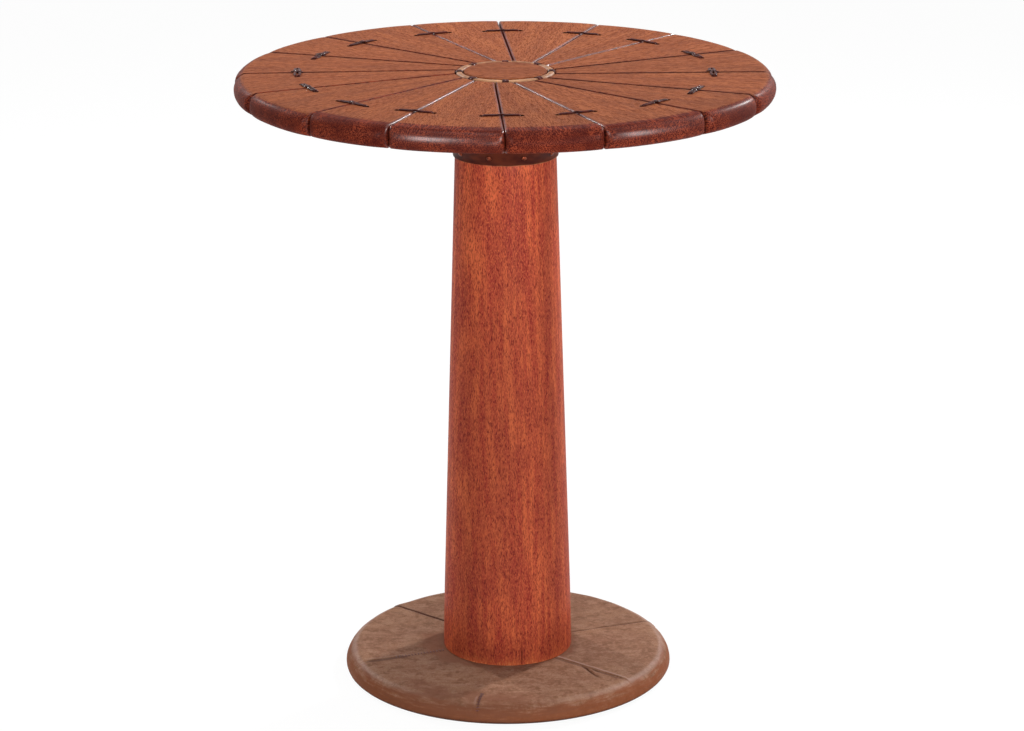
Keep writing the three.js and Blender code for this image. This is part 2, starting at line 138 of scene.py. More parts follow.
def new_material(name):
    """An empty material, ready for its nodes."""
    material = bpy.data.materials.new(name)
    material.use_nodes = True
    material.node_tree.nodes.clear()
    return material


def placed_material(name):
    """An empty material, and the place of each point of the piece that wears it."""
    material = new_material(name)
    return material, add_node(material, "ShaderNodeTexCoord").outputs["Object"]


def finish_material(material, shader):
    output = add_node(material, "ShaderNodeOutputMaterial")
    material.node_tree.links.new(shader.outputs[0], output.inputs["Surface"])
    return material


def principled(material, sockets):
    """Ends a material in a Principled shader."""
    return finish_material(material, add_node(material, "ShaderNodeBsdfPrincipled", None, sockets))


def attribute(material, name, output="Fac"):
    """Reads what was stored at the points of a piece."""
    return add_node(material, "ShaderNodeAttribute", {"attribute_name": name}).outputs[output]


def pattern(material, vector, sizes, detail=2.0, roughness=0.5, shift=0.0):
    """Noise whose grains are as long, in millimetres, as the three sizes say. Gives 0 to 1."""
    scale = tuple(1 / (size * MM) for size in sizes)
    settings = {"operation": "MULTIPLY_ADD"}
    moved = add_node(material, "ShaderNodeVectorMath", settings, {0: vector, 1: scale, 2: (shift,) * 3})
    sockets = {"Vector": moved.outputs[0], "Scale": 1.0, "Detail": detail, "Roughness": roughness}
    return add_node(material, "ShaderNodeTexNoise", None, sockets).outputs[0]


def between(material, value, low, high, out_low=0.0, out_high=1.0):
    """Eases a value from one range into another."""
    settings = {"interpolation_type": "SMOOTHSTEP"}
    sockets = {0: value, 1: low, 2: high, 3: out_low, 4: out_high}
    return add_node(material, "ShaderNodeMapRange", settings, sockets).outputs[0]


def combine(material, operation, first, second):
    return add_node(material, "ShaderNodeMath", {"operation": operation}, {0: first, 1: second}).outputs[0]


def swing(material, value, amount):
    """A pattern turned into a swing to both sides of 0, which makes an edge ragged."""
    return combine(material, "MULTIPLY", combine(material, "SUBTRACT", value, 0.5), amount)


def blend(material, share, first, second, how="MIX"):
    """Mixes two colours by a share."""
    settings = {"data_type": "RGBA", "blend_type": how}
    return add_node(material, "ShaderNodeMix", settings, {0: share, 6: first, 7: second}).outputs[2]


def stain(material, skin, *layers):
    """Lays hex colours over a skin, each from nothing where its mask is low to the most where it is high."""
    for tint, mask, low, high, most in layers:
        skin = blend(material, between(material, mask, low, high, 0.0, most), skin, colour(tint))
    return skin


def lighten(material, skin, tone, low, high):
    """Multiplies a skin by a grey that follows its tone."""
    grey = between(material, tone, 0.0, 1.0, low, high)
    shade = add_node(material, "ShaderNodeCombineColor", None, {0: grey, 1: grey, 2: grey})
    return blend(material, 1.0, skin, shade.outputs[0], "MULTIPLY")


def bump(material, height, depth, strength=1.0):
    """A relief of the given depth in millimetres."""
    sockets = {"Height": height, "Strength": strength, "Distance": depth * MM}
    return add_node(material, "ShaderNodeBump", None, sockets).outputs[0]


# %% [markdown]
# The floor is a pale sheet and the room is white. The floor is drawn lighter to the camera than it is to
# the lamps, through Light Path, so the page stays white while the table still casts a soft shadow.
#
# A broad lamp overhead and a lower one in front light the whole table. Two small ones behind it throw the
# column's two shadows over the foot and catch the eased edges of the seams. A glint lamp on each side
# shows only in polished surfaces, such as the bulge of the rim.

# %% Floor, room and lamps
FLOOR_SIZE = 40
FLOOR_DROP = 0.4 * MM
AMBIENT = 0.33


def seen(material):
    """1 for what the camera sees, also by reflection or through glass, and 0 for light that falls."""
    rays = add_node(material, "ShaderNodeLightPath").outputs
    direct = combine(material, "MAXIMUM", rays["Is Camera Ray"], rays["Is Glossy Ray"])
    return combine(material, "MAXIMUM", direct, rays["Is Transmission Ray"])


floor_mesh = bmesh.new()
bmesh.ops.create_grid(floor_mesh, x_segments=1, y_segments=1, size=FLOOR_SIZE / 2)
bmesh.ops.translate(floor_mesh, verts=floor_mesh.verts, vec=(0, 0, -FLOOR_DROP))
floor = new_object("floor", bpy.data.meshes.new("floor"))
floor_mesh.to_mesh(floor.data)
floor_mesh.free()

paper = new_material("White studio paper")
matt = add_node(paper, "ShaderNodeBsdfDiffuse", None, {"Color": colour("#e8e8e8")})
glow = add_node(paper, "ShaderNodeEmission", None, {"Color": colour("#ffffff"), "Strength": 1.05})
lift = combine(paper, "MULTIPLY", seen(paper), 0.9)
sheet = add_node(paper, "ShaderNodeMixShader", None, {0: lift, 1: matt.outputs[0], 2: glow.outputs[0]})
floor.data.materials.append(finish_material(paper, sheet))

world = bpy.data.worlds.new("White room")
bpy.context.scene.world = world
world.use_nodes = True
world.node_tree.nodes.clear()
brightness = between(world, seen(world), 0.0, 1.0, AMBIENT, 1.0)
sky = add_node(world, "ShaderNodeBackground", None, {"Color": colour("#ffffff"), "Strength": brightness})
sky_out = add_node(world, "ShaderNodeOutputWorld")
world.node_tree.links.new(sky.outputs[0], sky_out.inputs["Surface"])


def lamp(name, place, size, watts, target=(0, 0, 0.55), glint=False):
    """A rectangular lamp that faces a point. A glint lamp only shows in polished surfaces."""
    light = bpy.data.lights.new(name, "AREA")
    light.shape = "RECTANGLE"
    light.size, light.size_y = size
    light.energy = watts
    holder = new_object(name, light)
    holder.visible_diffuse = not glint
    holder.location = place
    holder.rotation_mode = "QUATERNION"
    holder.rotation_quaternion = (Vector(target) - Vector(place)).to_track_quat("-Z", "Y")


lamp("lamp_overhead", (0.1, 0.1, 2.9), (1.6, 1.2), 24)
lamp("lamp_back_right", (1.80, 1.87, 1.99), (0.22, 0.22), 62)
lamp("lamp_back_left", (-1.65, 1.95, 1.99), (0.22, 0.22), 30)
lamp("lamp_front", (0.85, -2.9, 0.75), (2.0, 0.8), 43)
lamp("glint_left", (-1.7, -2.75, 1.7), (0.8, 1.8), 140, glint=True)
lamp("glint_right", (2.55, -1.9, 1.7), (0.8, 1.8), 140, glint=True)


# %% [markdown]
# Every new piece goes through one function, which turns the finished bmesh into an object at the origin,
# gives it its material, says which body it rides on and hides the solids that it stands for. Edges sharper
# than an angle stay crisp, and all the rest is shaded smooth.

# %% Helpers for pieces
def make_piece(name, bm, material, slot, *nodes, sharp=40):
    """A finished piece from a bmesh."""
    bmesh.ops.recalc_face_normals(bm, faces=bm.faces)
    mesh = bpy.data.meshes.new(name)
    bm.to_mesh(mesh)
    bm.free()
    piece = new_object(name, mesh)
    mesh.materials.append(material)
    mesh.shade_smooth()
    mesh.set_sharp_from_angle(angle=math.radians(sharp))
    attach(piece, "root")
    if nodes:
        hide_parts(*nodes)
    return piece


def outline(bm, points):
    """Vertices and edges for a closed outline of (radius, height) points, standing in the XZ plane."""
    verts = [bm.verts.new((radius, 0, height)) for radius, height in points]
    return verts + [bm.edges.new((verts[i - 1], verts[i])) for i in range(len(verts))]


def lathe(points, steps):
    """A bmesh of a closed outline, spun all the way round."""
    bm = bmesh.new()
    around = {"cent": (0, 0, 0), "axis": (0, 0, 1), "dvec": (0, 0, 0), "angle": math.tau}
    bmesh.ops.spin(bm, geom=outline(bm, points), steps=steps, use_merge=True, **around)
    bmesh.ops.remove_doubles(bm, verts=bm.verts, dist=0.01 * MM)
    bmesh.ops.delete(bm, geom=[edge for edge in bm.edges if edge.is_wire], context="EDGES")
    bmesh.ops.recalc_face_normals(bm, faces=bm.faces)
    return bm


def quarter(centre, radius, first, steps):
    """Points on a quarter round about (radius, height), from an angle in degrees."""
    angles = [math.radians(first + 90 * i / steps) for i in range(steps + 1)]
    return [(centre[0] + radius * math.cos(a), centre[1] + radius * math.sin(a)) for a in angles]


def spread(low, high, count):
    """Evenly spaced values between two ends, without the ends."""
    return [low + (high - low) * (i + 1) / (count + 1) for i in range(count)]


def level_run(height, first, last, count):
    """Points of an outline at one height, between two radii."""
    return [(radius, height) for radius in spread(first, last, count)]


def clamp(value):
    return min(1.0, max(0.0, value))


def eased(value):
    """Eases a share in and out, and keeps it from 0 to 1."""
    share = clamp(value)
    return share * share * (3 - 2 * share)


def hill(distance, width):
    """1 at no distance, falling smoothly to nearly 0 at twice the width."""
    return math.exp(-((distance / width) ** 2))


def drift(x, y, z):
    """Smooth noise from -1 to 1, for the wander of handwork."""
    return noise.noise(Vector((x, y, z)))


def outwards(angle):
    """The level direction at an angle from +X, anticlockwise."""
    return Vector((math.cos(angle), math.sin(angle), 0))


def bearing(place):
    """The direction of a point from the axis, in degrees from 0 to 360."""
    return math.degrees(math.atan2(place.y, place.x)) % 360


def store(piece, shares):
    """Stores a number at every point of a piece under each name."""
    for name in shares:
        piece.data.attributes.new(name, "FLOAT", "POINT")
    for name, values in shares.items():
        piece.data.attributes[name].data.foreach_set("value", values)


def set_grain(piece, fibre, tone=0.5, seed=0, **shares):
    """Stores how the wood grows: its place along the fibre, across it and through it, in metres."""
    fibre = Vector(fibre).normalized()
    side = fibre.orthogonal() if abs(fibre.z) > 0.9 else Vector((0, 0, 1)).cross(fibre)
    side.normalize()
    third = fibre.cross(side)
    shift = Vector((0.77, 1.31, 0.59)) * seed
    grain = piece.data.attributes.new("grain", "FLOAT_VECTOR", "POINT").data
    for vert, stored in zip(piece.data.vertices, grain):
        stored.vector = Vector((vert.co.dot(fibre), vert.co.dot(side), vert.co.dot(third))) + shift
    shares["tone"] = tone if callable(tone) else lambda place: tone
    values = {}
    for name in ("tone", "rim", "polish", "grime"):
        share = shares.get(name, lambda place: 0.0)
        values[name] = [share(vert.co) for vert in piece.data.vertices]
    store(piece, values)


# %% [markdown]
# The top is a dense, open-pored tropical hardwood, oiled and rubbed to a satin. Three things show in such
# a wood. Its fibres run the length of the board, so every mark is drawn out along them. Its pores are cut
# open into short dark dashes on the face and into dots on the end. And the end grain drinks more oil than
# the face, so the rim is darker and redder.
#
# The pattern is solid: it is worked out in three dimensions from how each stave grows, not painted on, so
# the dashes on the face turn into dots round the rim by themselves. They are drawn about 0.9 mm wide,
# coarser than the real pores, because finer ones would vanish in the picture.

# %% Oiled hardwood
def oiled_wood(name, tints, dash, coat=0.9):
    """Wood from its tints and the length and width of a drawn pore, in millimetres."""
    light, dark, dull, pore, rim_light, rim_dark = tints
    length, width = dash
    material = new_material(name)
    grain = attribute(material, "grain", "Vector")
    tone, rim, polish, grime = (attribute(material, share) for share in ("tone", "rim", "polish", "grime"))
    bands = pattern(material, grain, (120, 6, 10), detail=3)
    cloud = pattern(material, grain, (60, 26, 26), detail=3, shift=7.3)
    dashes = pattern(material, grain, (length, width, width), detail=1, roughness=0.6, shift=3.1)
    specks = pattern(material, grain, (length, width * 1.25, width * 1.25), detail=2, shift=8.4)
    threads = pattern(material, grain, (length * 0.6, width * 0.8, width * 0.8), detail=1, shift=11.7)
    ripple = pattern(material, grain, (length * 1.6, width * 2.6, width * 2.6), detail=2, shift=5.9)

    face = stain(
        material,
        colour(light),
        (dark, bands, 0.32, 0.68, 1.0),
        (dull, cloud, 0.42, 0.66, 0.6),
        (pore, ripple, 0.46, 0.68, 0.3),
        (pore, dashes, 0.5, 0.6, 0.75),
        (light, threads, 0.52, 0.64, 0.7),
    )
    face = lighten(material, face, tone, 0.78, 1.2)

    end = (rim_dark, specks, 0.41, 0.57, 1.0), (rim_dark, cloud, 0.35, 0.65, 0.7)
    end = stain(material, colour(rim_light), *end)
    edge = between(material, combine(material, "ADD", rim, swing(material, dashes, 0.9)), 0.3, 0.66)
    edge = combine(material, "MULTIPLY", edge, between(material, rim, 0.0, 0.12))
    skin = blend(material, edge, face, end)
    # Painted shade, dark in the tie holes and along some seams
    skin = blend(material, grime, skin, colour("#1c0a08"))

    open_pores = between(material, dashes, 0.5, 0.6, 0.0, 0.75)
    relief = combine(material, "SUBTRACT", combine(material, "MULTIPLY", threads, 0.35), open_pores)
    sockets = {
        "Base Color": skin,
        "Roughness": between(material, dashes, 0.4, 0.7, 0.5, 0.68),
        "IOR": 1.45,
        "Specular IOR Level": 0.03,
        "Normal": bump(material, relief, 0.06, 0.5),
        "Coat Weight": combine(material, "MULTIPLY", polish, coat),
        "Coat Roughness": 0.28,
    }
    return principled(material, sockets)


STAVE_TINTS = ("#a65f3a", "#8a482b", "#80462d", "#5a2414", "#964129", "#4a1611")
# For the column the two end tints are a painted highlight on its lower edge
COLUMN_TINTS = ("#d46840", "#a8402f", "#9a3b2e", "#5e1618", "#e08a55", "#c05a34")
PINE_TINTS = ("#7a4a2e", "#5c3320", "#533021", "#3d2015", "#6d3c26", "#3c1c14")
stave_wood = oiled_wood("Oiled tropical hardwood, face and end grain", STAVE_TINTS, (9, 0.95))
column_wood = oiled_wood("Oiled red hardwood, turned", COLUMN_TINTS, (5.5, 0.9))
inner_wood = oiled_wood("Stained pine", PINE_TINTS, (14, 0.95), coat=0.0)
print("woods:", [m.name for m in bpy.data.materials if "wood" in m.name or "pine" in m.name])


# %% [markdown]
# Each stave is a wedge of the round top. The seams aren't quite radial: they all pass the centre on the
# same side, like a pinwheel, and no two staves are quite as wide, so each seam is read from its tie. A
# stave could be an extruded outline, but its rim is a bullnose that bends round the table, so it is
# easier to spin the top's section through a little more than one stave and to cut both sides off.
#
# A maker eases the long edges with a block plane and rounds the outer corners more, which leaves a notch
# in the rim at each seam. Extra cuts beside each seam give the mesh rows to round, and each row then
# sinks along the surface as a quarter round would. The easing wanders a little, as handwork does.

# %% Seam lines
def tie_middle(index):
    low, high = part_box(f"tie_{index % STAVE_COUNT + 1:02d}")
    return (low + high) / 2


def seam(index):
    """The direction of a seam, outwards, and the direction square to it, anticlockwise."""
    middle = tie_middle(index)
    turned = math.asin(SEAM_OFFSET / math.hypot(middle.x, middle.y))
    along = outwards(math.atan2(middle.y, middle.x) + turned)
    return along, Vector((-along.y, along.x, 0))


print("the first seam runs", [round(v, 3) for v in seam(0)[0]])

# %% The staves' section and the rows beside each seam
# One stave is cut from a sector that starts before it: both in staves, and the steps of its spin
SECTOR_START = 1.8
SECTOR = 3.1
SECTOR_STEPS = 38
RIM_ROUND_HIGH = 13.5 * MM
RIM_ROUND_LOW = 11.5 * MM
HUB_EDGE = 1.2 * MM
EDGE_ROUND = 2.1 * MM
CORNER_ROUND = 9 * MM
# The rim of each stave is a little flatter than the circle, so it falls away towards its corners
RIM_FALL = 2.0 * MM
RIM_FALL_REACH = 30 * MM
# How far each stave's end was trimmed back, in millimetres, anticlockwise from the front seam
RIM_TRIMS = (0.5, 0.3, 0.3, 1.2, 3.4, 6.4, 4.8, 1.6, -0.4, -0.4, 0.0, -0.4, 0.3, 0.5, 1.5, 1.0)
TRIM_REACH = 40 * MM
# The underside was planed away a little towards the front
RIM_PLANED = 1.6 * MM
# The front seam is nearly closed at the rim
SEAM_CLOSED = 0.45 * MM
SEAM_CLOSED_REACH = 90 * MM
ROW_SHARES = (0.049, 0.191, 0.412, 0.691, 1.0)
rows = sorted({round(size * share, 6) for size in (EDGE_ROUND, CORNER_ROUND) for share in ROW_SHARES})
rows.append(13 * MM)

rim_high_centre = (TOP_RADIUS - RIM_ROUND_HIGH, TOP_HIGH - RIM_ROUND_HIGH)
rim_low_centre = (TOP_RADIUS - RIM_ROUND_LOW, TOP_LOW + RIM_ROUND_LOW)
stave_section = [
    (TONGUE_INNER, TOP_LOW),
    *level_run(TOP_LOW, TONGUE_INNER, rim_low_centre[0], 12),
    *quarter(rim_low_centre, RIM_ROUND_LOW, -90, 5),
    *quarter(rim_high_centre, RIM_ROUND_HIGH, 0, 9),
    *level_run(TOP_HIGH, rim_high_centre[0], HUB_RECESS + HUB_EDGE, 24),
    *quarter((HUB_RECESS + HUB_EDGE, TOP_HIGH - HUB_EDGE), HUB_EDGE, 90, 3),
    (HUB_RECESS, TONGUE_HIGH),
    (TONGUE_INNER, TONGUE_HIGH),
]
print("section points:", len(stave_section), "rows beside a seam:", len(rows))


# %% Shaping one stave
def rounded_normal(place, high_centre, low_centre, side, middle):
    """Which way a disc with a rounded edge faces at a point, and how far round the edge it is, 0 to 1.

    The edge's two quarter rounds are given by their centres. Side is the radius from which the rest
    counts as edge, and middle is the height from which the rest counts as top.
    """
    radius = math.hypot(place.x, place.y)
    outward = Vector((place.x, place.y, 0)) / radius
    if place.z > high_centre[1] and radius > high_centre[0]:
        normal = outward * (radius - high_centre[0]) + Vector((0, 0, place.z - high_centre[1]))
    elif place.z < low_centre[1] and radius > low_centre[0]:
        normal = outward * (radius - low_centre[0]) + Vector((0, 0, place.z - low_centre[1]))
    elif radius > side:
        normal = outward
    else:
        normal = Vector((0, 0, 1 if place.z > middle else -1))
    normal.normalize()
    return normal, max(0.0, normal.dot(outward))


def ease(distance, size):
    """How far a quarter round of a size has sunk at a distance from its edge."""
    if distance >= size:
        return 0.0
    return size - math.sqrt(size**2 - (size - distance) ** 2)


def slice_at(bm, place, facing, clear=False):
    """Cuts everything along a plane, and can clear what lies in front of it."""
    everything = bm.verts[:] + bm.edges[:] + bm.faces[:]
    bmesh.ops.bisect_plane(bm, geom=everything, plane_co=place, plane_no=facing, clear_outer=clear)


def shape_stave(index):
    """One stave, spun and cut along its two seams, with rows of points beside each."""
    bm = bmesh.new()
    start = math.tau * (index - SECTOR_START) / STAVE_COUNT - math.pi / 2
    section = outline(bm, stave_section)
    bmesh.ops.rotate(bm, verts=bm.verts, cent=(0, 0, 0), matrix=Matrix.Rotation(start, 3, "Z"))
    sweep = {"angle": math.tau * SECTOR / STAVE_COUNT, "steps": SECTOR_STEPS}
    bmesh.ops.spin(bm, geom=section, cent=(0, 0, 0), axis=(0, 0, 1), dvec=(0, 0, 0), **sweep)
    sides = []
    for neighbour, turned in ((index, 1), (index + 1, -1)):
        along, across = seam(neighbour)
        inward = across * turned
        sides.append((inward * (SEAM_GAP / 2) - across * SEAM_OFFSET, inward))
        slice_at(bm, sides[-1][0], -inward, clear=True)
    for wall, inward in sides:
        for row in rows:
            slice_at(bm, wall + inward * row, inward)
    bmesh.ops.holes_fill(bm, edges=[e for e in bm.edges if e.is_boundary], sides=0)
    bmesh.ops.recalc_face_normals(bm, faces=bm.faces)
    return bm, sides


def ease_stave(bm, sides, index):
    """Rounds the long edges and the outer corners, with a little wander along them."""
    for vert in bm.verts:
        side_from = TOP_RADIUS - 0.1 * MM
        normal, edge = rounded_normal(vert.co, rim_high_centre, rim_low_centre, side_from, TONGUE_HIGH)
        radius = math.hypot(vert.co.x, vert.co.y)
        if radius < HUB_RECESS + HUB_EDGE * 0.5:
            continue
        sink = 0.0
        for side, (wall, inward) in enumerate(sides):
            distance = max(0.0, (vert.co - wall).dot(inward))
            size = EDGE_ROUND * (1 + 0.25 * drift(radius * 45, index * 3.7 + side * 1.9, 0.5))
            size += (CORNER_ROUND - size) * edge**1.5
            fall = max(0.0, 1 - distance / RIM_FALL_REACH)
            sink += ease(distance, size) + RIM_FALL * edge * fall**2
            if (index + side) % STAVE_COUNT == 0:
                closed = max(0.0, 1 - (TOP_RADIUS - radius) / SEAM_CLOSED_REACH)
                vert.co -= inward * SEAM_CLOSED * closed * max(0.0, 1 - distance / rows[-1])
        outward = Vector((vert.co.x, vert.co.y, 0)) / radius
        near_rim = max(0.0, 1 - (TOP_RADIUS - radius) / TRIM_REACH)
        vert.co -= normal * sink + outward * (RIM_TRIMS[index] * MM * near_rim)
        depth = max(0.0, 1 - (vert.co.z - TOP_LOW) / RIM_ROUND_LOW)
        vert.co.z += RIM_PLANED * max(0.0, -outward.y) ** 3 * depth * min(1.0, near_rim * 1.6)


# %% [markdown]
# The ties go through a hole on each side of their seam. The holes are cut with a Boolean against a turned
# drill that flares at its mouth, so the rim of each hole is slightly broken, as a lace wears it.

# %% The tie holes
TIE_REACH = 22 * MM
HOLE_RADIUS = 3.2 * MM
HOLE_MOUTH = 0.6 * MM
DRILL_OVERRUN = 3 * MM


def tie_frame(index):
    """Where a tie's middle is on the top, and which way it points."""
    along, across = seam(index)
    middle = tie_middle(index)
    turned = Matrix((across, -along, (0, 0, 1))).transposed().to_4x4()
    return Matrix.Translation((middle.x, middle.y, TOP_HIGH)) @ turned


def stand_cutter(bm, place):
    """Makes a cutter of a bmesh and stands it over a point."""
    bmesh.ops.translate(bm, verts=bm.verts, vec=(place.x, place.y, 0))
    cutter = new_object("cutter", bpy.data.meshes.new("cutter"))
    bm.to_mesh(cutter.data)
    bm.free()
    return cutter


def drill(place):
    """A round cutter for a lace, with a flared mouth."""
    points = [
        (0, TOP_LOW - DRILL_OVERRUN),
        (HOLE_RADIUS, TOP_LOW - DRILL_OVERRUN),
        (HOLE_RADIUS, TOP_HIGH - HOLE_MOUTH),
        (HOLE_RADIUS + HOLE_MOUTH * 0.35, TOP_HIGH - HOLE_MOUTH * 0.35),
        (HOLE_RADIUS + HOLE_MOUTH, TOP_HIGH + 0.05 * MM),
        (HOLE_RADIUS + HOLE_MOUTH, TOP_HIGH + DRILL_OVERRUN),
        (0, TOP_HIGH + DRILL_OVERRUN),
    ]
    return stand_cutter(lathe(points, 20), place)


def cut_away(piece, cutters):
    """Subtracts some cutters from a piece and keeps the result as its mesh."""
    for cutter in cutters:
        cut = piece.modifiers.new("cut", "BOOLEAN")
        cut.object = cutter
        cut.solver = "EXACT"
    graph = bpy.context.evaluated_depsgraph_get()
    mesh = bpy.data.meshes.new_from_object(piece.evaluated_get(graph))
    piece.modifiers.clear()
    piece.data = mesh
    for cutter in cutters:
        bpy.data.objects.remove(cutter)


# %% Making the staves
# How light each stave is, anticlockwise from the front seam
STAVE_TONES = (0.34, 0.38, 0.3, 0.42, 0.28, 0.42, 0.42, 0.52, 0.58, 0.44, 0.44, 0.4, 0.46, 0.36, 0.43, 0.5)
# How far the two edges of each seam were polished by wear
SEAM_GLOSS = (0.4, 0.48, 0.06, 0.06, 0.06, 0.06, 0.8, 0.7, 0.35, 0.25, 0.06, 0.06, 0.06, 0.06, 0.2, 0.7)
# How far the two edges of each seam are painted darker, as painted shade in the seam
SEAM_SHADE = (0, 0, 0.5, 0.6, 0.6, 0.6, 0, 0, 0, 0, 0.45, 0.5, 0.4, 0, 0, 0)
# How far the bulge of each stave's rim was polished by wear
STAVE_GLOSS = (0.05, 0.5, 0.26, 0.18, 0.08, 0.08, 0.08, 0.08, 0.08, 0.08, 0.08, 0.08, 0.11, 0.08, 0.05, 0.7)
# Where the dark end grain begins on each stave, in millimetres from the axis
RIM_STARTS = (284, 292, 303, 304, 304, 304, 306, 308, 308, 306, 304, 304, 305, 304, 289, 284)
RIM_BLEND = 8 * MM
BULGE = 9 * MM


def rim_share(place, index):
    """0 on the flat of the top, rising to 1 where the end grain shows."""
    return clamp((math.hypot(place.x, place.y) - RIM_STARTS[index] * MM) / RIM_BLEND)


def eased_share(place, sides):
    """1 on the eased long edges, 0 away from them."""
    nearest = min((place - wall).dot(inward) for wall, inward in sides)
    return clamp((EDGE_ROUND * 1.15 - nearest) / (EDGE_ROUND * 0.5))


def nearer_seam(place, sides, index):
    """The number of the seam that a point of a stave lies nearer to."""
    nearer_first = (place - sides[0][0]).dot(sides[0][1]) < (place - sides[1][0]).dot(sides[1][1])
    return index if nearer_first else (index + 1) % STAVE_COUNT


def stave_polish(place, sides, index):
    """Hands have polished the bulge of the rim and the eased edges, and left the flat of the top dull."""
    bulge = clamp((math.hypot(place.x, place.y) - TOP_RADIUS + BULGE) / BULGE)
    bulge *= min(1.0, max(0.15, (place.z - TOP_LOW) / (TOP_HIGH - TOP_LOW) * 2 - 0.6))
    gloss = SEAM_GLOSS[nearer_seam(place, sides, index)]
    return max(eased_share(place, sides) * gloss, bulge * STAVE_GLOSS[index])


def grime_share(place, sides, index, holes):
    """1 inside a tie's hole, painted dark as the shade in it, and less along some seams, as painted shade."""
    nearest = min(math.hypot(place.x - hole.x, place.y - hole.y) for hole in holes)
    if nearest < HOLE_RADIUS + HOLE_MOUTH * 0.5 and place.z > TOP_LOW:
        return 1.0
    return eased_share(place, sides) * SEAM_SHADE[nearer_seam(place, sides, index)]


for index in range(STAVE_COUNT):
    name = f"stave_{index + 1:02d}"
    bm, sides = shape_stave(index)
    ease_stave(bm, sides, index)
    stave = make_piece(f"fine_{name}", bm, stave_wood, "top_wood", name)
    holes = [tie_frame(index) @ Vector((TIE_REACH, 0, 0)), tie_frame(index + 1) @ Vector((-TIE_REACH, 0, 0))]
    cut_away(stave, [drill(hole) for hole in holes])
    first, second = seam(index)[0], seam(index + 1)[0]
    lean = Matrix.Rotation(math.radians(2.5 * drift(index * 1.7, 4.2, 0)), 3, "Z")
    # The eased edges take the dark end-grain colour, partly as oil soaked into them and partly as painted
    # shade in the seams
    set_grain(
        stave,
        lean @ (first + second),
        STAVE_TONES[index],
        index + 1,
        rim=lambda place: max(rim_share(place, index), 0.8 * eased_share(place, sides)),
        polish=lambda place: stave_polish(place, sides, index),
        grime=lambda place: grime_share(place, sides, index, holes),
    )
print("faces in one stave:", len(stave.data.polygons))

# %% [markdown]
# The disc in the middle is one flat board turned round, so its fibres run straight across the table
# instead of outwards. A spin of its section is what a lathe does, and it leaves the pocket underneath
# that clears the nut.

# %% Hub disc
DISC_EDGE = 1.6 * MM
NUT_POCKET = 16 * MM
DISC_GROWN = 1.3 * MM
disc_radius = reach("hub_disc") + DISC_GROWN
disc_low, disc_high = levels("hub_disc")
pocket_high = levels("tie_rod")[1] + 0.3 * MM

disc_points = [
    (0, pocket_high),
    (NUT_POCKET, pocket_high),
    (NUT_POCKET, disc_low),
    (disc_radius, disc_low),
    *quarter((disc_radius - DISC_EDGE, disc_high - DISC_EDGE), DISC_EDGE, 0, 5),
    *level_run(disc_high, disc_radius - DISC_EDGE, 0, 6),
    (0, disc_high),
]
disc_bm = lathe(disc_points, 96)
disc = make_piece("fine_hub_disc", disc_bm, stave_wood, "top_wood", "hub_disc")
set_grain(disc, (1, 0.04, 0), 0.3, 21)
print("hub disc, mm across:", round(disc_radius * 2 / MM, 1))

# %% [markdown]
# Laces, wraps and the rawhide ring are all one section carried along a path. A helper extrudes an oval
# from point to point and moves each new ring into its place, which is what a curve with a bevel would
# do, but it lets each point have its own width, thickness and roll. The flat side faces away from a
# core that the lace goes round, so the lace hugs the wood as it turns down into a hole.

# %% Helper for laces
def run_lace(bm, path, widths, thickness, away, sides=10, closed=False):
    """Extrudes an oval along a path. Away gives the direction that the flat side faces at each point."""
    ring = bmesh.ops.create_circle(bm, cap_ends=False, radius=1, segments=sides)["verts"]
    edges = list({edge for vert in ring for edge in vert.link_edges})
    first_edges, last_frame = edges, Matrix.Identity(4)
    for i, point in enumerate(path):
        before = path[i - 1] if i or closed else point
        after = path[(i + 1) % len(path)] if i + 1 < len(path) or closed else point
        along = (after - before).normalized()
        flat = (away[i] - along * away[i].dot(along)).normalized()
        columns = (flat.cross(along) * widths[i] / 2, flat * thickness / 2, along)
        place = Matrix.Translation(point) @ Matrix(columns).transposed().to_4x4()
        if i:
            grown = bmesh.ops.extrude_edge_only(bm, edges=edges)["geom"]
            ring = [item for item in grown if isinstance(item, bmesh.types.BMVert)]
            edges = [item for item in grown if isinstance(item, bmesh.types.BMEdge) and item.is_boundary]
        bmesh.ops.transform(bm, matrix=place @ last_frame.inverted(), verts=ring)
        last_frame = place
    if closed:
        bmesh.ops.bridge_loops(bm, edges=first_edges + edges)
    else:
        bmesh.ops.holes_fill(bm, edges=first_edges + edges, sides=0)


def smoothed(points, steps):
    """A Catmull-Rom path through some points."""
    path = []
    for i in range(len(points) - 1):
        before, here, after = points[max(0, i - 1)], points[i], points[i + 1]
        beyond = points[min(len(points) - 1, i + 2)]
        for step in range(steps):
            t = step / steps
            bend = (here - after) * 3 + beyond - before
            pull = before * 2 - here * 5 + after * 4 - beyond
            path.append((here * 2 + (after - before) * t + pull * t**2 + bend * t**3) / 2)
    return path + [points[-1]]


# %% [markdown]
# The laces are strips of oiled latigo leather, a dark oxblood, and those that stick up are polished by
# hands, so they glint where the light from the side strikes them. Rawhide is untanned skin that dries
# hard, a little glassy and the colour of toffee, darker where it is thick.

# %% Lace leather and rawhide
# A tight twist sticks up and is rubbed bright, while a flat lace stays dull
WRAP_GLOSS = 0.15
TWIST_GLOSS = 0.42
LACE_GLOSS = 0.05
POLISHED_REACH = 8 * MM


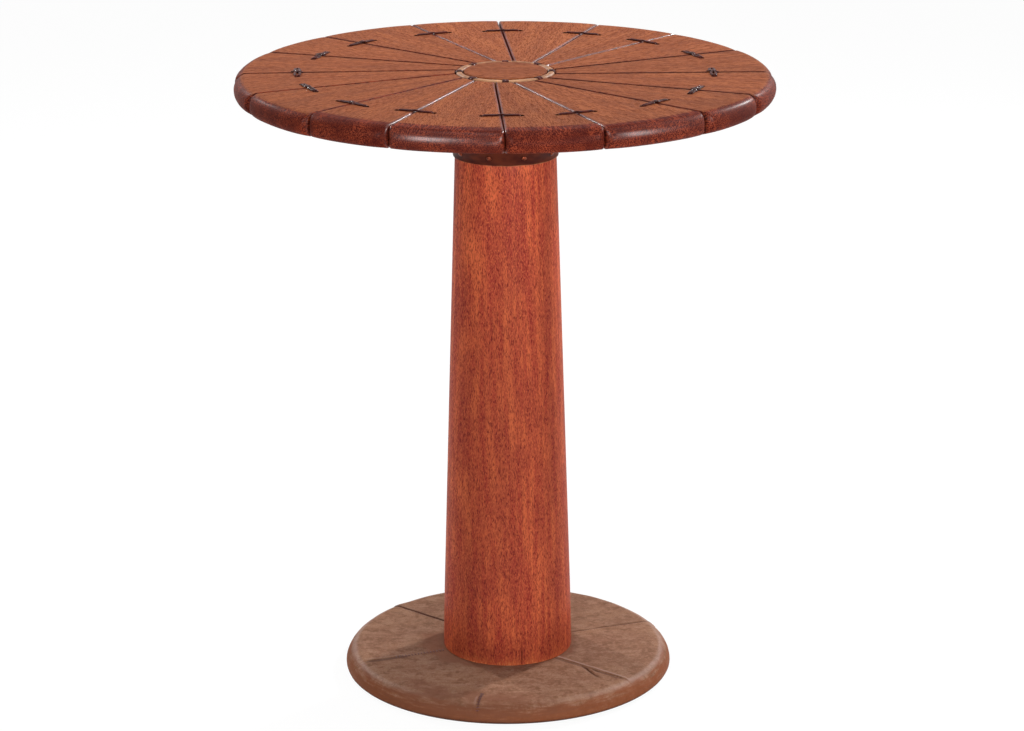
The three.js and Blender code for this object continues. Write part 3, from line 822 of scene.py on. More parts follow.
def latigo():
    material, place = placed_material("Oiled latigo leather")
    worn = pattern(material, place, (9, 9, 4), detail=3)
    # The real grain is about 0.3 mm and is drawn at 0.9 mm so that it shows
    grain = pattern(material, place, (0.9, 0.9, 0.9), detail=2, shift=4.1)
    sockets = {
        "Base Color": stain(material, colour("#3c1614"), ("#5e2820", worn, 0.45, 0.7, 1.0)),
        "Roughness": between(material, worn, 0.3, 0.7, 0.3, 0.45),
        "IOR": 1.4,
        "Specular IOR Level": 0.03,
        "Normal": bump(material, grain, 0.12, 0.5),
        "Coat Weight": attribute(material, "polish"),
        "Coat Roughness": 0.14,
    }
    return principled(material, sockets)


def rawhide():
    material, place = placed_material("Dried rawhide")
    cloud = pattern(material, place, (6, 6, 6), detail=3)
    fleck = pattern(material, place, (1.4, 1.4, 1.4), detail=2, shift=2.7)
    across = add_node(material, "ShaderNodeSeparateXYZ", None, {0: place}).outputs["Y"]
    skin = stain(
        material,
        colour("#b07850"),
        ("#82522f", cloud, 0.35, 0.68, 1.0),
        ("#7e4a2c", fleck, 0.58, 0.72, 0.5),
        # The front of the ring is painted paler, as painted light on the side that faces the front
        ("#dca273", across, -0.04, -0.058, 0.75),
    )
    relief = bump(material, fleck, 0.2, 0.6)
    sockets = {"Base Color": skin, "Roughness": 0.5, "IOR": 1.5, "Specular IOR Level": 0.25, "Normal": relief}
    return principled(material, sockets)


def set_polish(piece, amount, middle=None):
    """Stores how far a lace was polished by wear, which is most over the seam, at its middle."""
    values = []
    for vert in piece.data.vertices:
        away = (vert.co - middle).to_2d().length if middle else 0
        values.append(amount * (0.15 + 0.85 * hill(away, POLISHED_REACH)))
    store(piece, {"polish": values})


latigo_leather = latigo()
rawhide_skin = rawhide()
print("leathers:", latigo_leather.name, "and", rawhide_skin.name)

# %% [markdown]
# The rawhide was wet when it was bound down, so it swells between the wraps and is pinched under them.
# The ring is spun whole, and its points are then drawn in near each wrap.

# %% Rawhide ring
HUB_WRAPS = 8
RING_INNER = 50.2 * MM
RING_ROUND = 2.8 * MM
RING_SWELL = 0.4 * MM
# Shares of the half way from one wrap to the next: how much is pinched flat, and over how much it swells
PINCHED = 0.14
SWELLING = 0.3
ring_outer = reach("rawhide_ring")
ring_low, ring_high = levels("rawhide_ring")
ring_middle = Vector(((RING_INNER + ring_outer) / 2, 0, (ring_low + ring_high) / 2))


def ring_section(grown):
    """The ring's section, grown outwards all round by some amount."""
    size = RING_ROUND + grown
    low, high = ring_low - grown + size, ring_high + grown - size
    inner, outer = RING_INNER - grown + size, ring_outer + grown - size
    corners = (((outer, low), -90), ((outer, high), 0), ((inner, high), 90), ((inner, low), 180))
    return [point for centre, first in corners for point in quarter(centre, size, first, 4)]


def between_wraps(place):
    """0 under a wrap, rising to 1 between two."""
    share = (math.atan2(place.y, place.x) + math.pi / 2) / math.tau * HUB_WRAPS
    return eased((abs(share - round(share)) * 2 - PINCHED) / SWELLING)


ring_bm = lathe(ring_section(0), 192)
for vert in ring_bm.verts:
    outward = Vector((vert.co.x, vert.co.y, 0)).normalized()
    from_middle = vert.co - (outward * ring_middle.x + Vector((0, 0, ring_middle.z)))
    lump = 1 + 0.5 * noise.noise(vert.co / (7 * MM))
    vert.co += from_middle.normalized() * RING_SWELL * between_wraps(vert.co) * lump
ring = make_piece("fine_rawhide_ring", ring_bm, rawhide_skin, "rawhide", "rawhide_ring", sharp=60)
print("rawhide ring faces:", len(ring.data.polygons))

# %% [markdown]
# The lace goes twice round the ring at each wrap, side by side, and runs on to the next wrap underneath.
# Every turn leans a little, because a lace that moves on as it winds can't lie square.

# %% Hub lace
WRAP_THICKNESS = 1.1 * MM
WRAP_WIDTH = 4.1 * MM
WRAP_STEP = 1.95 * MM
WRAP_LEAN = 0.5 * MM
RUN_WIDTH = 6 * MM
RUN_STEPS = 96

wrap_bm = bmesh.new()
for wrap in range(HUB_WRAPS):
    spot = Matrix.Rotation(math.tau * wrap / HUB_WRAPS - math.pi / 2, 4, "Z")
    for side in (-1, 1):
        path, away = [], []
        for radius, height in ring_section(WRAP_THICKNESS / 2 + 0.08 * MM):
            lean = WRAP_LEAN * (height - ring_middle.z) / (ring_high - ring_low)
            lean += 0.35 * MM * drift(wrap * 2.3, side * 5.1, height / (4 * MM))
            path.append(spot @ Vector((radius, side * WRAP_STEP + lean, height)))
            away.append(spot.to_3x3() @ (Vector((radius, 0, height)) - ring_middle))
        run_lace(wrap_bm, path, [WRAP_WIDTH] * len(path), WRAP_THICKNESS, away, closed=True)
run_start = Vector((ring_middle.x, 0, ring_low - WRAP_THICKNESS / 2 - 0.1 * MM))
run_path = [Matrix.Rotation(math.tau * i / RUN_STEPS, 3, "Z") @ run_start for i in range(RUN_STEPS)]
run_widths, run_away = [RUN_WIDTH] * RUN_STEPS, [Vector((0, 0, -1))] * RUN_STEPS
run_lace(wrap_bm, run_path, run_widths, WRAP_THICKNESS * 0.8, run_away, closed=True)
wraps = make_piece("fine_hub_lace", wrap_bm, latigo_leather, "lace_leather", "hub_lace", sharp=70)
set_polish(wraps, WRAP_GLOSS)
print("hub lace faces:", len(wraps.data.polygons))

# %% [markdown]
# Each tie is one lace, doubled. Both strands come up through a hole, bow apart, twist round each other
# over the seam and go down through the other hole, and the two cut ends are left as short tails. The
# twist is a small helix, so the strands really pass over and under. No two ties are pulled equally tight.

# %% Ties
LACE_WIDTH = 3.4 * MM
LACE_THICKNESS = 1.5 * MM
# How far from the seam a strand turns down, and how far from it the strand stands once in its hole
TIE_DIVE = 20 * MM
TIE_DEEP = 20.5 * MM
TIE_TWIST_HALF = 5.5 * MM
TWIST_RADIUS = 1.0 * MM
CROSSING_RADIUS = 0.45 * MM
STRAND_STEPS = 44
TAIL_LENGTH = 6 * MM
# Half the length, and the depth, of the core of wood that a lace goes round
CORE_REACH = 16 * MM
CORE_DEPTH = 9 * MM
# How far the strands of each tie bow apart, in millimetres, counted from the front anticlockwise
TIE_BOWS = (1.5, 1.6, 1.9, 2.4, 3.0, 2.6, 1.8, 1.6, 1.5, 1.6, 1.9, 2.5, 3.4, 2.4, 1.9, 1.6)
# How many half turns the strands make over the seam, and whether the cut ends show
TIE_HALF_TURNS = (1, 1, 3, 3, 3, 3, 1, 1, 1, 1, 3, 3, 3, 3, 3, 1)
TIE_TAILS = (0, 0, 0, 1, 1, 0, 0, 0, 0, 0, 0, 1, 1, 0, 0, 0)


def from_core(path, height):
    """Which way the flat side of a lace faces at each point, away from its core."""
    return [p - Vector((min(CORE_REACH, max(-CORE_REACH, p.x)), 0, height)) for p in path]


def strand_point(across, side, bow, start, half_turns):
    """Where a strand is above the wood, at a distance across the seam."""
    angle = math.pi * half_turns * eased((across / TIE_TWIST_HALF + 1) / 2) + start
    middle = math.exp(-((across / TIE_TWIST_HALF) ** 2) * 1.1)
    outer = max(0.0, 1 - (abs(across) / TIE_DIVE) ** 3)
    radius = TWIST_RADIUS if half_turns > 1 else CROSSING_RADIUS
    reach_out = radius * middle + (bow * outer + 1.45 * MM * (1 - outer)) * (1 - middle)
    lift = LACE_THICKNESS * 0.56 + middle * radius
    sideways = side * reach_out * math.cos(angle)
    return Vector((across, sideways, lift + side * radius * middle * math.sin(angle)))


def tie_strand(bm, side, bow, start, half_turns):
    """One strand, from inside one hole over the seam and down into the other."""
    path = []
    for i in range(STRAND_STEPS + 1):
        across = (2 * i / STRAND_STEPS - 1) * (TIE_DIVE - 1.2 * MM)
        path.append(strand_point(across, side, bow, start, half_turns))
    for sign, corner in ((-1, path[0]), (1, path[-1])):
        dive = [
            Vector((sign * TIE_DIVE, corner.y, 0.25 * MM)),
            Vector((sign * (TIE_DIVE + 0.45 * MM), corner.y, -1.3 * MM)),
            Vector((sign * TIE_DEEP, corner.y * 0.95, -6 * MM)),
            Vector((sign * TIE_DEEP, corner.y * 0.95, TOP_LOW - TOP_HIGH + 1 * MM)),
        ]
        path = path + dive if sign > 0 else dive[::-1] + path
    widths = [LACE_WIDTH * (1 + 0.14 * drift(i * 0.23, side * 3.3, bow / MM)) for i in range(len(path))]
    run_lace(bm, path, widths, LACE_THICKNESS, from_core(path, -CORE_DEPTH))


def tie_tail(bm, side, bow):
    """A short cut end that leaves the twist and lies on the wood."""
    bend = 3.2 * MM * (1 + 0.6 * drift(bow / MM, side * 2.2, 1.1))
    points = []
    for share, high in ((0.1, 2.1), (0.35, 1.9), (0.7, 1.15), (1.0, 0.85)):
        points.append(Vector((side * share * bend, side * (1.2 * MM + share * TAIL_LENGTH), high * MM)))
    path = smoothed(points, 4)
    widths = [LACE_WIDTH * 0.8] * (len(path) - 1) + [LACE_WIDTH * 0.55]
    run_lace(bm, path, widths, LACE_THICKNESS * 0.75, [Vector((0, 0, 1))] * len(path))


def tie_back(bm):
    """The lace's run across the seam under the top."""
    low = TOP_LOW - TOP_HIGH
    under = low - LACE_THICKNESS * 0.6
    corners = ((TIE_DEEP, low + 5 * MM), (TIE_DEEP, low + 1 * MM), (TIE_DEEP - 2 * MM, under))
    left, right = ([Vector((sign * x, 0, z)) for x, z in corners] for sign in (-1, 1))
    path = smoothed([*left, Vector((0, 0, under)), *right[::-1]], 6)
    run_lace(bm, path, [LACE_WIDTH * 1.4] * len(path), LACE_THICKNESS, from_core(path, low + CORE_DEPTH))


for index in range(STAVE_COUNT):
    bow = TIE_BOWS[index] * MM
    start = 0.5 * drift(index * 1.3, 8.8, 0)
    tie_bm = bmesh.new()
    for side in (-1, 1):
        tie_strand(tie_bm, side, bow, start, TIE_HALF_TURNS[index])
        if TIE_TAILS[index]:
            tie_tail(tie_bm, side, bow)
    tie_back(tie_bm)
    bmesh.ops.transform(tie_bm, matrix=tie_frame(index), verts=tie_bm.verts)
    name = f"tie_{index + 1:02d}"
    tie = make_piece(f"fine_{name}", tie_bm, latigo_leather, "lace_leather", name, sharp=60)
    gloss = TWIST_GLOSS if TIE_HALF_TURNS[index] > 1 else LACE_GLOSS
    set_polish(tie, gloss, tie_frame(index).to_translation())
print("faces in one tie:", len(tie.data.polygons))

# %% [markdown]
# The column is turned from one heavy piece of red hardwood and tapers evenly. Its fibres stand upright,
# so the pores show as fine upright dashes. It is painted lighter towards its head, as painted light, and
# it is darker at its foot. A short drying check has opened there, and a thin spindle cut out with a Boolean
# leaves the same kind of slit.

# %% Column
COLUMN_BORE = 7.5 * MM
COLUMN_HEAD = 60 * MM
COLUMN_FOOT_EDGE = 1.5 * MM
# How far up the lower edge of the column is painted a lighter orange, as a painted highlight on its rounded
# edge
HIGHLIGHT_EDGE = 4 * MM
COLUMN_HEAD_EDGE = 0.8 * MM
# The taper stops just above the foot, where the turner's gouge ran out
FOOT_TUCK = 0.9 * MM
FOOT_TUCK_REACH = 90 * MM
SOCKET_RADIUS = 24.3 * MM
BOSS_RADIUS = 59.7 * MM
CHECK_PLACE = Vector((17.2, -76.4, 41)) * MM
CHECK_SIZE = (0.42, 2.4, 16)
foot_radius = reach("column")
foot_height = levels("base_cover")[1]
column_low, column_high = levels("column")
socket_low = levels("capital")[0] - 0.3 * MM


def column_share(height):
    """0 where the column meets the foot, 1 at its head."""
    return (height - foot_height) / (column_high - foot_height)


foot_edge = (foot_radius - FOOT_TUCK - COLUMN_FOOT_EDGE, foot_height + COLUMN_FOOT_EDGE)
head_edge = (COLUMN_HEAD - COLUMN_HEAD_EDGE, column_high - COLUMN_HEAD_EDGE)
column_points = [
    (COLUMN_BORE, column_low),
    (BOSS_RADIUS, column_low),
    (BOSS_RADIUS, foot_height),
    *quarter(foot_edge, COLUMN_FOOT_EDGE, -90, 4),
]
for height in [foot_edge[1], *spread(foot_height + HIGHLIGHT_EDGE, head_edge[1], 44)]:
    tuck = FOOT_TUCK * max(0.0, 1 - (height - foot_height) / FOOT_TUCK_REACH) ** 2
    column_points.append((foot_radius + (COLUMN_HEAD - foot_radius) * column_share(height) - tuck, height))
column_points += [
    *quarter(head_edge, COLUMN_HEAD_EDGE, 0, 3),
    (SOCKET_RADIUS, column_high),
    (SOCKET_RADIUS, socket_low),
    (COLUMN_BORE, socket_low),
]
column = make_piece("fine_column", lathe(column_points, 128), column_wood, "column_wood", "column")


def spindle(place, size):
    """A thin pointed cutter."""
    bm = bmesh.new()
    bmesh.ops.create_uvsphere(bm, u_segments=8, v_segments=8, radius=1)
    bmesh.ops.scale(bm, vec=[axis * MM for axis in size], verts=bm.verts)
    bmesh.ops.rotate(bm, verts=bm.verts, cent=(0, 0, 0), matrix=Matrix.Rotation(0.02, 3, "Y"))
    bmesh.ops.translate(bm, verts=bm.verts, vec=(0, 0, place.z))
    return stand_cutter(bm, place)


def peg_hole(node):
    """A cutter for the hole that a dowel stands in, a little wider and longer than the dowel."""
    low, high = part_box(node)
    clear = 0.3 * MM
    radius, bottom, top = (high.x - low.x) / 2 + clear, low.z - clear, high.z + clear
    return stand_cutter(lathe([(0, bottom), (radius, bottom), (radius, top), (0, top)], 24), (low + high) / 2)


# Darker bands of heartwood run up the column, and a lighter band at its left side is a painted reflection:
# direction and half width in degrees, and how dark at the foot and at the head
HEARTWOOD_AND_REFLECTION = ((198, 17, -0.45, -0.1), (236, 16, 0.36, 0.0), (320, 13, 0.18, 0.36))
# Halfway up the wood is darker all round, and twice as much at the front
DARK_WAIST = 0.2
FRONT = (268, 20)
# The column is darker near its foot: how high, and how much
FOOT_DARKENING_REACH = 30 * MM
FOOT_DARKENING = 0.34


def column_tone(place):
    """The wood is painted lighter towards the head, as painted light, darker at the foot and in its bands of
    heartwood, and lighter in a band of painted reflection.
    """
    share, degrees = column_share(place.z), bearing(place)
    dark = FOOT_DARKENING * hill(place.z - foot_height, FOOT_DARKENING_REACH)
    for middle, width, low, high in HEARTWOOD_AND_REFLECTION:
        dark += (low + (high - low) * share) * hill(degrees - middle, width)
    dark += DARK_WAIST * math.sin(math.pi * share) * (1 + hill(degrees - FRONT[0], FRONT[1]))
    # The head is painted lighter, as painted light
    return 0.58 + 0.44 * share**3 - dark


def edge_highlight(place):
    """Up to 1 on the lower edge, painted lighter as a painted highlight, most of all at the front, and 0
    above it.
    """
    facing = max(0.0, -place.y / place.to_2d().length)
    return clamp(1 - (place.z - foot_height) / HIGHLIGHT_EDGE) * (0.35 + 0.5 * facing)


cut_away(column, [spindle(CHECK_PLACE, CHECK_SIZE), peg_hole("foot_dowel"), peg_hole("head_dowel")])
# The rim share paints the lower edge lighter, as a painted highlight
set_grain(column, (0, 0, 1), column_tone, 3, polish=lambda place: 0.1, rim=edge_highlight)
print("column faces:", len(column.data.polygons))


# %% [markdown]
# Under the top sit two plain turned pieces that the leather and the staves hide from most sides: a
# flared block that widens the column's head, and a round plate that the staves rest on. They are pine,
# stained so that no pale wood shows from below.

# %% Capital and mounting plate
ROD_CLEAR = 6.3 * MM
SPIGOT_RADIUS = 24 * MM
FLARE_BOW = 1.2
PLATE_EDGE = 5 * MM
capital_low, capital_high = levels("capital")
capital_radius = reach("capital")
plate_low, plate_high = levels("mounting_plate")
plate_flat = reach("mounting_plate") - PLATE_EDGE


def flare(height):
    """The capital's radius at a height."""
    share = max(0.0, (height - column_high) / (capital_high - column_high))
    return COLUMN_HEAD + (capital_radius - COLUMN_HEAD) * share**FLARE_BOW


flare_heights = [column_high, *spread(column_high, capital_high, 12), capital_high]
capital_points = [(ROD_CLEAR, capital_low), (SPIGOT_RADIUS, capital_low), (SPIGOT_RADIUS, column_high)]
capital_points += [(flare(height), height) for height in flare_heights] + [(ROD_CLEAR, capital_high)]
capital = make_piece("fine_capital", lathe(capital_points, 96), inner_wood, "inner_wood", "capital")
cut_away(capital, [peg_hole("head_dowel"), peg_hole("plate_dowel")])
set_grain(capital, (0, 0, 1), 0.5, 31)

plate_points = [
    (ROD_CLEAR, plate_low),
    *level_run(plate_low, ROD_CLEAR, plate_flat, 6),
    *quarter((plate_flat, plate_low + PLATE_EDGE), PLATE_EDGE, -90, 5),
    *quarter((plate_flat, plate_high - PLATE_EDGE), PLATE_EDGE, 0, 5),
    (ROD_CLEAR, plate_high),
]
plate_bm = lathe(plate_points, 128)
plate = make_piece("fine_mounting_plate", plate_bm, inner_wood, "inner_wood", "mounting_plate")
cut_away(plate, [peg_hole("plate_dowel")])
set_grain(plate, (1, 0.1, 0), 0.5, 33)
print("capital and plate faces:", len(capital.data.polygons), len(plate.data.polygons))

# %% [markdown]
# The collar is one strip of harness leather, moulded wet over the flare, lapped at the back and tacked.
# It starts as a flat grid, gets its thickness from Solidify, and each point is then wrapped round the
# flare. The strip is a little longer than the way round, so its end rides up over its start.
#
# Leather moulded by hand is never quite true: the lower edge wanders by half a millimetre, and the cut
# edge there has worn through its dye to tan.

# %% Harness leather
def harness_leather():
    material, place = placed_material("Dyed harness leather")
    cloud = pattern(material, place, (26, 26, 14), detail=4)
    # Real pores are about 0.4 mm and are drawn at 1.1 mm so that they show
    grain = pattern(material, place, (1.1, 1.1, 1.1), detail=3, shift=3.3)
    raw = combine(material, "ADD", attribute(material, "rim"), swing(material, cloud, 1.8))
    layers = ("#5a2718", cloud, 0.36, 0.66, 1.0), ("#a8704c", raw, 0.5, 1.0, 1.0)
    sockets = {
        "Base Color": stain(material, colour("#3c140e"), *layers),
        "Roughness": between(material, cloud, 0.3, 0.7, 0.5, 0.65),
        "IOR": 1.4,
        "Specular IOR Level": 0.08,
        "Normal": bump(material, grain, 0.18, 0.5),
    }
    return principled(material, sockets)


collar_skin = harness_leather()

# %% Leather collar
COLLAR_THICKNESS = 1.9 * MM
COLLAR_STANDOFF = 0.35 * MM
COLLAR_STEPS = 240
COLLAR_ROWS = 22
COLLAR_EDGE = 0.45 * MM
RAW_EDGE = 1.1 * MM
# The strip goes once round and laps over its start, at the back, away from the camera
STRIP_TURN = math.tau + math.radians(9)
LAP_START = math.radians(100)
LAP_RISE = 0.12
collar_low, collar_high = levels("leather_collar")
strip_length = COLUMN_HEAD * STRIP_TURN
strip_height = collar_high - collar_low


def collar_place(flat):
    """Wraps a point of the flat strip round the flare: along, up, and out from the inner face."""
    along, up, out = flat
    angle = LAP_START + along * STRIP_TURN
    round_x, round_y = math.cos(angle), math.sin(angle)
    height = collar_low + strip_height * up
    height += 0.5 * MM * drift(round_x * 2.1, round_y * 2.1, 6.0) * (1 - up) ** 2
    seat = max(flare(height) + COLLAR_STANDOFF * 1.2, COLUMN_HEAD + COLLAR_STANDOFF)
    seat += 0.25 * MM * (1 - up) * drift(round_x * 3, round_y * 3, height * 60)
    lean = Vector((1, 0, -(flare(height + 1 * MM) - flare(height)) / MM)).normalized()
    out += (COLLAR_THICKNESS + 0.1 * MM) * eased((along * STRIP_TURN - math.tau + LAP_RISE) / LAP_RISE)
    radius = seat + lean.x * out
    return Vector((radius * round_x, radius * round_y, min(height + lean.z * out, collar_high)))


collar_bm = bmesh.new()
bmesh.ops.create_grid(collar_bm, x_segments=COLLAR_STEPS, y_segments=COLLAR_ROWS, size=0.5)
bmesh.ops.translate(collar_bm, verts=collar_bm.verts, vec=(0.5, 0.5, 0))
bmesh.ops.recalc_face_normals(collar_bm, faces=collar_bm.faces)
bmesh.ops.solidify(collar_bm, geom=collar_bm.faces[:], thickness=-COLLAR_THICKNESS)
bmesh.ops.recalc_face_normals(collar_bm, faces=collar_bm.faces)
bmesh.ops.scale(collar_bm, vec=(strip_length, strip_height, 1), verts=collar_bm.verts)
sharp_edges = [e for e in collar_bm.edges if e.calc_face_angle(0) > 1]
bevel = {"segments": 3, "profile": 0.5, "material": -1, "clamp_overlap": True}
bmesh.ops.bevel(collar_bm, geom=sharp_edges, offset=COLLAR_EDGE, affect="EDGES", **bevel)
lowest = min(v.co.z for v in collar_bm.verts)
raw_shares = []
for vert in collar_bm.verts:
    raw_shares.append(clamp(1 - vert.co.y / RAW_EDGE))
    flat = Vector((vert.co.x / strip_length, vert.co.y / strip_height, vert.co.z - lowest))
    vert.co = collar_place(flat)
collar = make_piece("fine_collar", collar_bm, collar_skin, "collar_leather", "leather_collar", sharp=50)
store(collar, {"rim": raw_shares})
print("collar faces:", len(collar.data.polygons))

# %% [markdown]
# The tacks are domed upholstery tacks with a copper wash that has browned. Each is a lathed dome with a
# thin rolled rim, seated square to the flare.

# %% Tacks
TACK_COUNT = 10
TACK_FIRST = math.radians(-106.9)
TACK_ABOVE = 8 * MM
TACK_HEAD = 3.1 * MM
TACK_HEIGHT = 1.9 * MM
TACK_SHANK = 0.9 * MM
TACK_LENGTH = 10 * MM
TACK_RIM = 0.35 * MM


def mottled(name, sizes, tints, limits, roughness, relief, detail=3, metal=False):
    """A finish whose one pattern mixes two tints between its limits and gives the relief's depth too."""
    material, place = placed_material(name)
    cloud = pattern(material, place, sizes, detail=detail)
    skin = stain(material, colour(tints[0]), (tints[1], cloud, *limits, 1.0))
    sockets = {"Base Color": skin, "Normal": bump(material, cloud, *relief)}
    if metal:
        sockets |= {"Metallic": 1.0, "Roughness": between(material, cloud, 0.3, 0.7, *roughness)}
    else:
        sockets |= {"IOR": 1.5, "Roughness": roughness}
    return principled(material, sockets)


copper_tints = ("#8a4630", "#4c2219")
tack_skin = mottled(
    "Browned copper plate", (2.2, 2.2, 2.2), copper_tints, (0.38, 0.66), (0.25, 0.5), (0.08, 0.4), metal=True
)
dome = []
for degrees in range(0, 90, 12):
    rise = TACK_RIM + (TACK_HEIGHT - TACK_RIM) * math.sin(math.radians(degrees))
    dome.append((TACK_HEAD * math.cos(math.radians(degrees)), rise))
tack_points = [(0, -TACK_LENGTH), (TACK_SHANK, TACK_SHANK * 2 - TACK_LENGTH), (TACK_SHANK, 0)]
tack_points += [(TACK_HEAD * 0.92, 0), *dome, (0, TACK_HEIGHT)]
seat_height = column_high + TACK_ABOVE
seat_rise = (flare(seat_height + 1 * MM) - flare(seat_height - 1 * MM)) / (2 * MM)
for index in range(TACK_COUNT):
    name = f"tack_{index + 1:02d}"
    outward = outwards(TACK_FIRST + math.tau * index / TACK_COUNT)
    lean = (outward - Vector((0, 0, seat_rise))).normalized()
    seat = outward * flare(seat_height) + Vector((0, 0, seat_height))
    seat += lean * (COLLAR_STANDOFF + COLLAR_THICKNESS)
    turned = lean.to_track_quat("Z", "Y").to_matrix().to_4x4()
    tack_bm = lathe(tack_points, 28)
    bmesh.ops.transform(tack_bm, matrix=Matrix.Translation(seat) @ turned, verts=tack_bm.verts)
    make_piece(f"fine_{name}", tack_bm, tack_skin, "tack_metal", name)
print("tacks:", TACK_COUNT, "seated at, mm:", round(seat_height / MM, 1))

# %% [markdown]
# The foot is a wooden disc under a cover of thick brushed leather, sewn from six gores and drawn round
# the edge. Cloth simulation suits a slack cushion, but this skin is stretched tight on a hard disc, so it
# only swells beside its seams and creases where it was pulled. Moving the points one by one gives that.
#
# The cover is spun as one shell. Beside each seam and crease more rows are cut in, because a groove two
# millimetres wide needs points closer than that. Then every point moves along the surface by the sum of
# all that shapes it there.

# %% The cover's shell
COVER_ROUND_HIGH = 19 * MM
COVER_ROUND_LOW = 6 * MM
COVER_THICKNESS = 1.8 * MM
COVER_OPENING = 60 * MM
COVER_HEM = 158 * MM
cover_radius = reach("base_cover")
cover_low, cover_high = levels("base_cover")
cover_inside = cover_high - COVER_THICKNESS
cover_high_centre = (cover_radius - COVER_ROUND_HIGH, cover_high - COVER_ROUND_HIGH)
cover_low_centre = (cover_radius - COVER_ROUND_LOW, cover_low + COVER_ROUND_LOW)

cover_points = [
    (COVER_HEM, cover_low),
    *level_run(cover_low, COVER_HEM, cover_low_centre[0], 4),
    *quarter(cover_low_centre, COVER_ROUND_LOW, -90, 6),
    *quarter(cover_high_centre, COVER_ROUND_HIGH, 0, 10),
    *level_run(cover_high, cover_high_centre[0], COVER_OPENING, 26),
    (COVER_OPENING, cover_high),
    (COVER_OPENING, cover_inside),
    *level_run(cover_inside, COVER_OPENING, cover_high_centre[0], 3),
    *quarter(cover_high_centre, COVER_ROUND_HIGH - COVER_THICKNESS, 0, 4)[::-1],
    *quarter(cover_low_centre, COVER_ROUND_LOW - COVER_THICKNESS, -90, 3)[::-1],
    (COVER_HEM, cover_low + COVER_THICKNESS),
]
cover_bm = lathe(cover_points, 240)
print("cover before its seams, faces:", len(cover_bm.faces))

# %% Seams and creases of the cover
# Direction in degrees, how each seam was sewn, how worn it is, how wide its painted shade is and between
# which radii that shows
SEAMS = (
    (21.0, "plain", 0.3, 1.6, 0, 250),
    (80.0, "plain", 0.5, 1.3, 0, 250),
    (139.0, "lapped", 0.6, 1.3, 0, 250),
    (199.5, "stitched", 0.8, 5.5, 122, 190),
    (259.5, "stitched", 0.6, 1.3, 166, 200),
    (320.0, "ridge", 1.1, 2.8, 0, 192),
)
SEAM_ROWS = (0.0, 0.4, 0.9, 1.5, 2.3, 3.4, 5.0, 7.5)
CREASE_ROWS = (0.0, 0.5, 1.1, 1.9)
ROW_MARGIN = 6
# Each crease: where it starts and ends, how deep and how wide it is, all in millimetres
CREASES = (
    ((88, -74), (114, -122), 1.8, 1.7),
    ((98, -82), (115, -101), 1.2, 1.4),
    ((118, 46), (92, 38), 0.5, 2.4),
)


def cut_rows(bm, start, direction, offsets, first, last):
    """Cuts rows into the faces along a line, at some distances to both sides of it."""
    side = Vector((-direction.y, direction.x, 0))
    widest = (max(offsets) + ROW_MARGIN) * MM
    for offset in sorted({sign * value * MM for value in offsets for sign in (-1, 1)}):
        near = []
        for face in bm.faces:
            away = face.calc_center_median() - start
            if abs(away.dot(side)) < widest and first < away.dot(direction) < last:
                near.append(face)
        geometry = near + list({e for f in near for e in f.edges}) + list({v for f in near for v in f.verts})
        middle = start + side * offset
        bmesh.ops.bisect_plane(bm, geom=geometry, plane_co=middle, plane_no=side, dist=0.02 * MM)


for degrees, *_ in SEAMS:
    line = outwards(math.radians(degrees))
    cut_rows(cover_bm, Vector((0, 0, 0)), line, SEAM_ROWS, COVER_OPENING * 0.9, cover_radius * 1.1)
for first, last, _, _ in CREASES:
    start, end = Vector((*first, 0)) * MM, Vector((*last, 0)) * MM
    line = (end - start).normalized()
    cut_rows(cover_bm, start, line, CREASE_ROWS, -4 * MM, (end - start).length + 4 * MM)
print("cover with its seams, faces:", len(cover_bm.faces))

# %% Shaping the cover
# How light each gore is, anticlockwise from the first seam
GORE_TONES = (0.3, 0.45, 0.58, 0.57, 0.7, 0.53)
# Beside the column the left of the foot is painted darker, as painted shade: direction and half width in
# degrees, reach in mm, and how much
SHADE_LEFT = (150, 36, 110, 0.55)
# Round the column the leather is painted darker, as painted shade, and at its left as the column's painted
# shadow: reach in mm and how much, and for the left also its direction and half width in degrees
COLUMN_SHADE = (11, 0.8)
COLUMN_SHADOW_LEFT = (34, 1.0, 200, 60)
# The front of the foot, where shoes rest, is darker and more orange farther in, partly scuffed and partly
# painted shadow: direction and half width in degrees, and the radii between which it rises
SCUFFED = (252, 46, 140, 180)
# The left of the foot is drawn in a little: direction and half width in degrees, and how far in mm
DRAWN_IN = (165, 32, 1.6)
# The leather swells a little all over: how wide and how high its swells are, in mm
SWELLS = ((55, 0.45), (19, 0.18))
SEAM_WANDER = 0.7 * MM
# How far a seam still shapes the leather, and over what length its thread fades in or out, in mm
SEAM_REACH = 20
SEAM_FADE = 12


def seam_wander(radius, degrees):
    """How far a seam strays from its line."""
    return SEAM_WANDER * drift(radius / (26 * MM), degrees, 0)


def swell(place):
    """The height of the leather's broad swells, in millimetres."""
    return sum(noise.noise(place / (width * MM)) * height for width, height in SWELLS)


def seam_distance(place, degrees):
    """Signed distance in millimetres from a seam's line, or None on the far side."""
    line = outwards(math.radians(degrees))
    if place.x * line.x + place.y * line.y < 0:
        return None
    return (place.y * line.x - place.x * line.y) / MM + seam_wander(place.length, degrees) / MM


def seam_relief(distance, style):
    """The height of the leather beside a seam, in millimetres."""
    if style == "lapped":
        flap = 1.1 / (1 + math.exp(distance * 5)) * hill(max(0.0, -distance), 14)
        return flap - 0.75 * hill(distance - 0.5, 0.7)
    if style == "ridge":
        return 0.95 * hill(distance - 1.4, 1.9) - 0.75 * hill(distance + 1.3, 1.1)
    puff = 0.5 * (hill(distance - 3.2, 2.6) + hill(distance + 3.2, 2.6))
    return puff - (1.0 if style == "stitched" else 0.8) * hill(distance, 0.85)


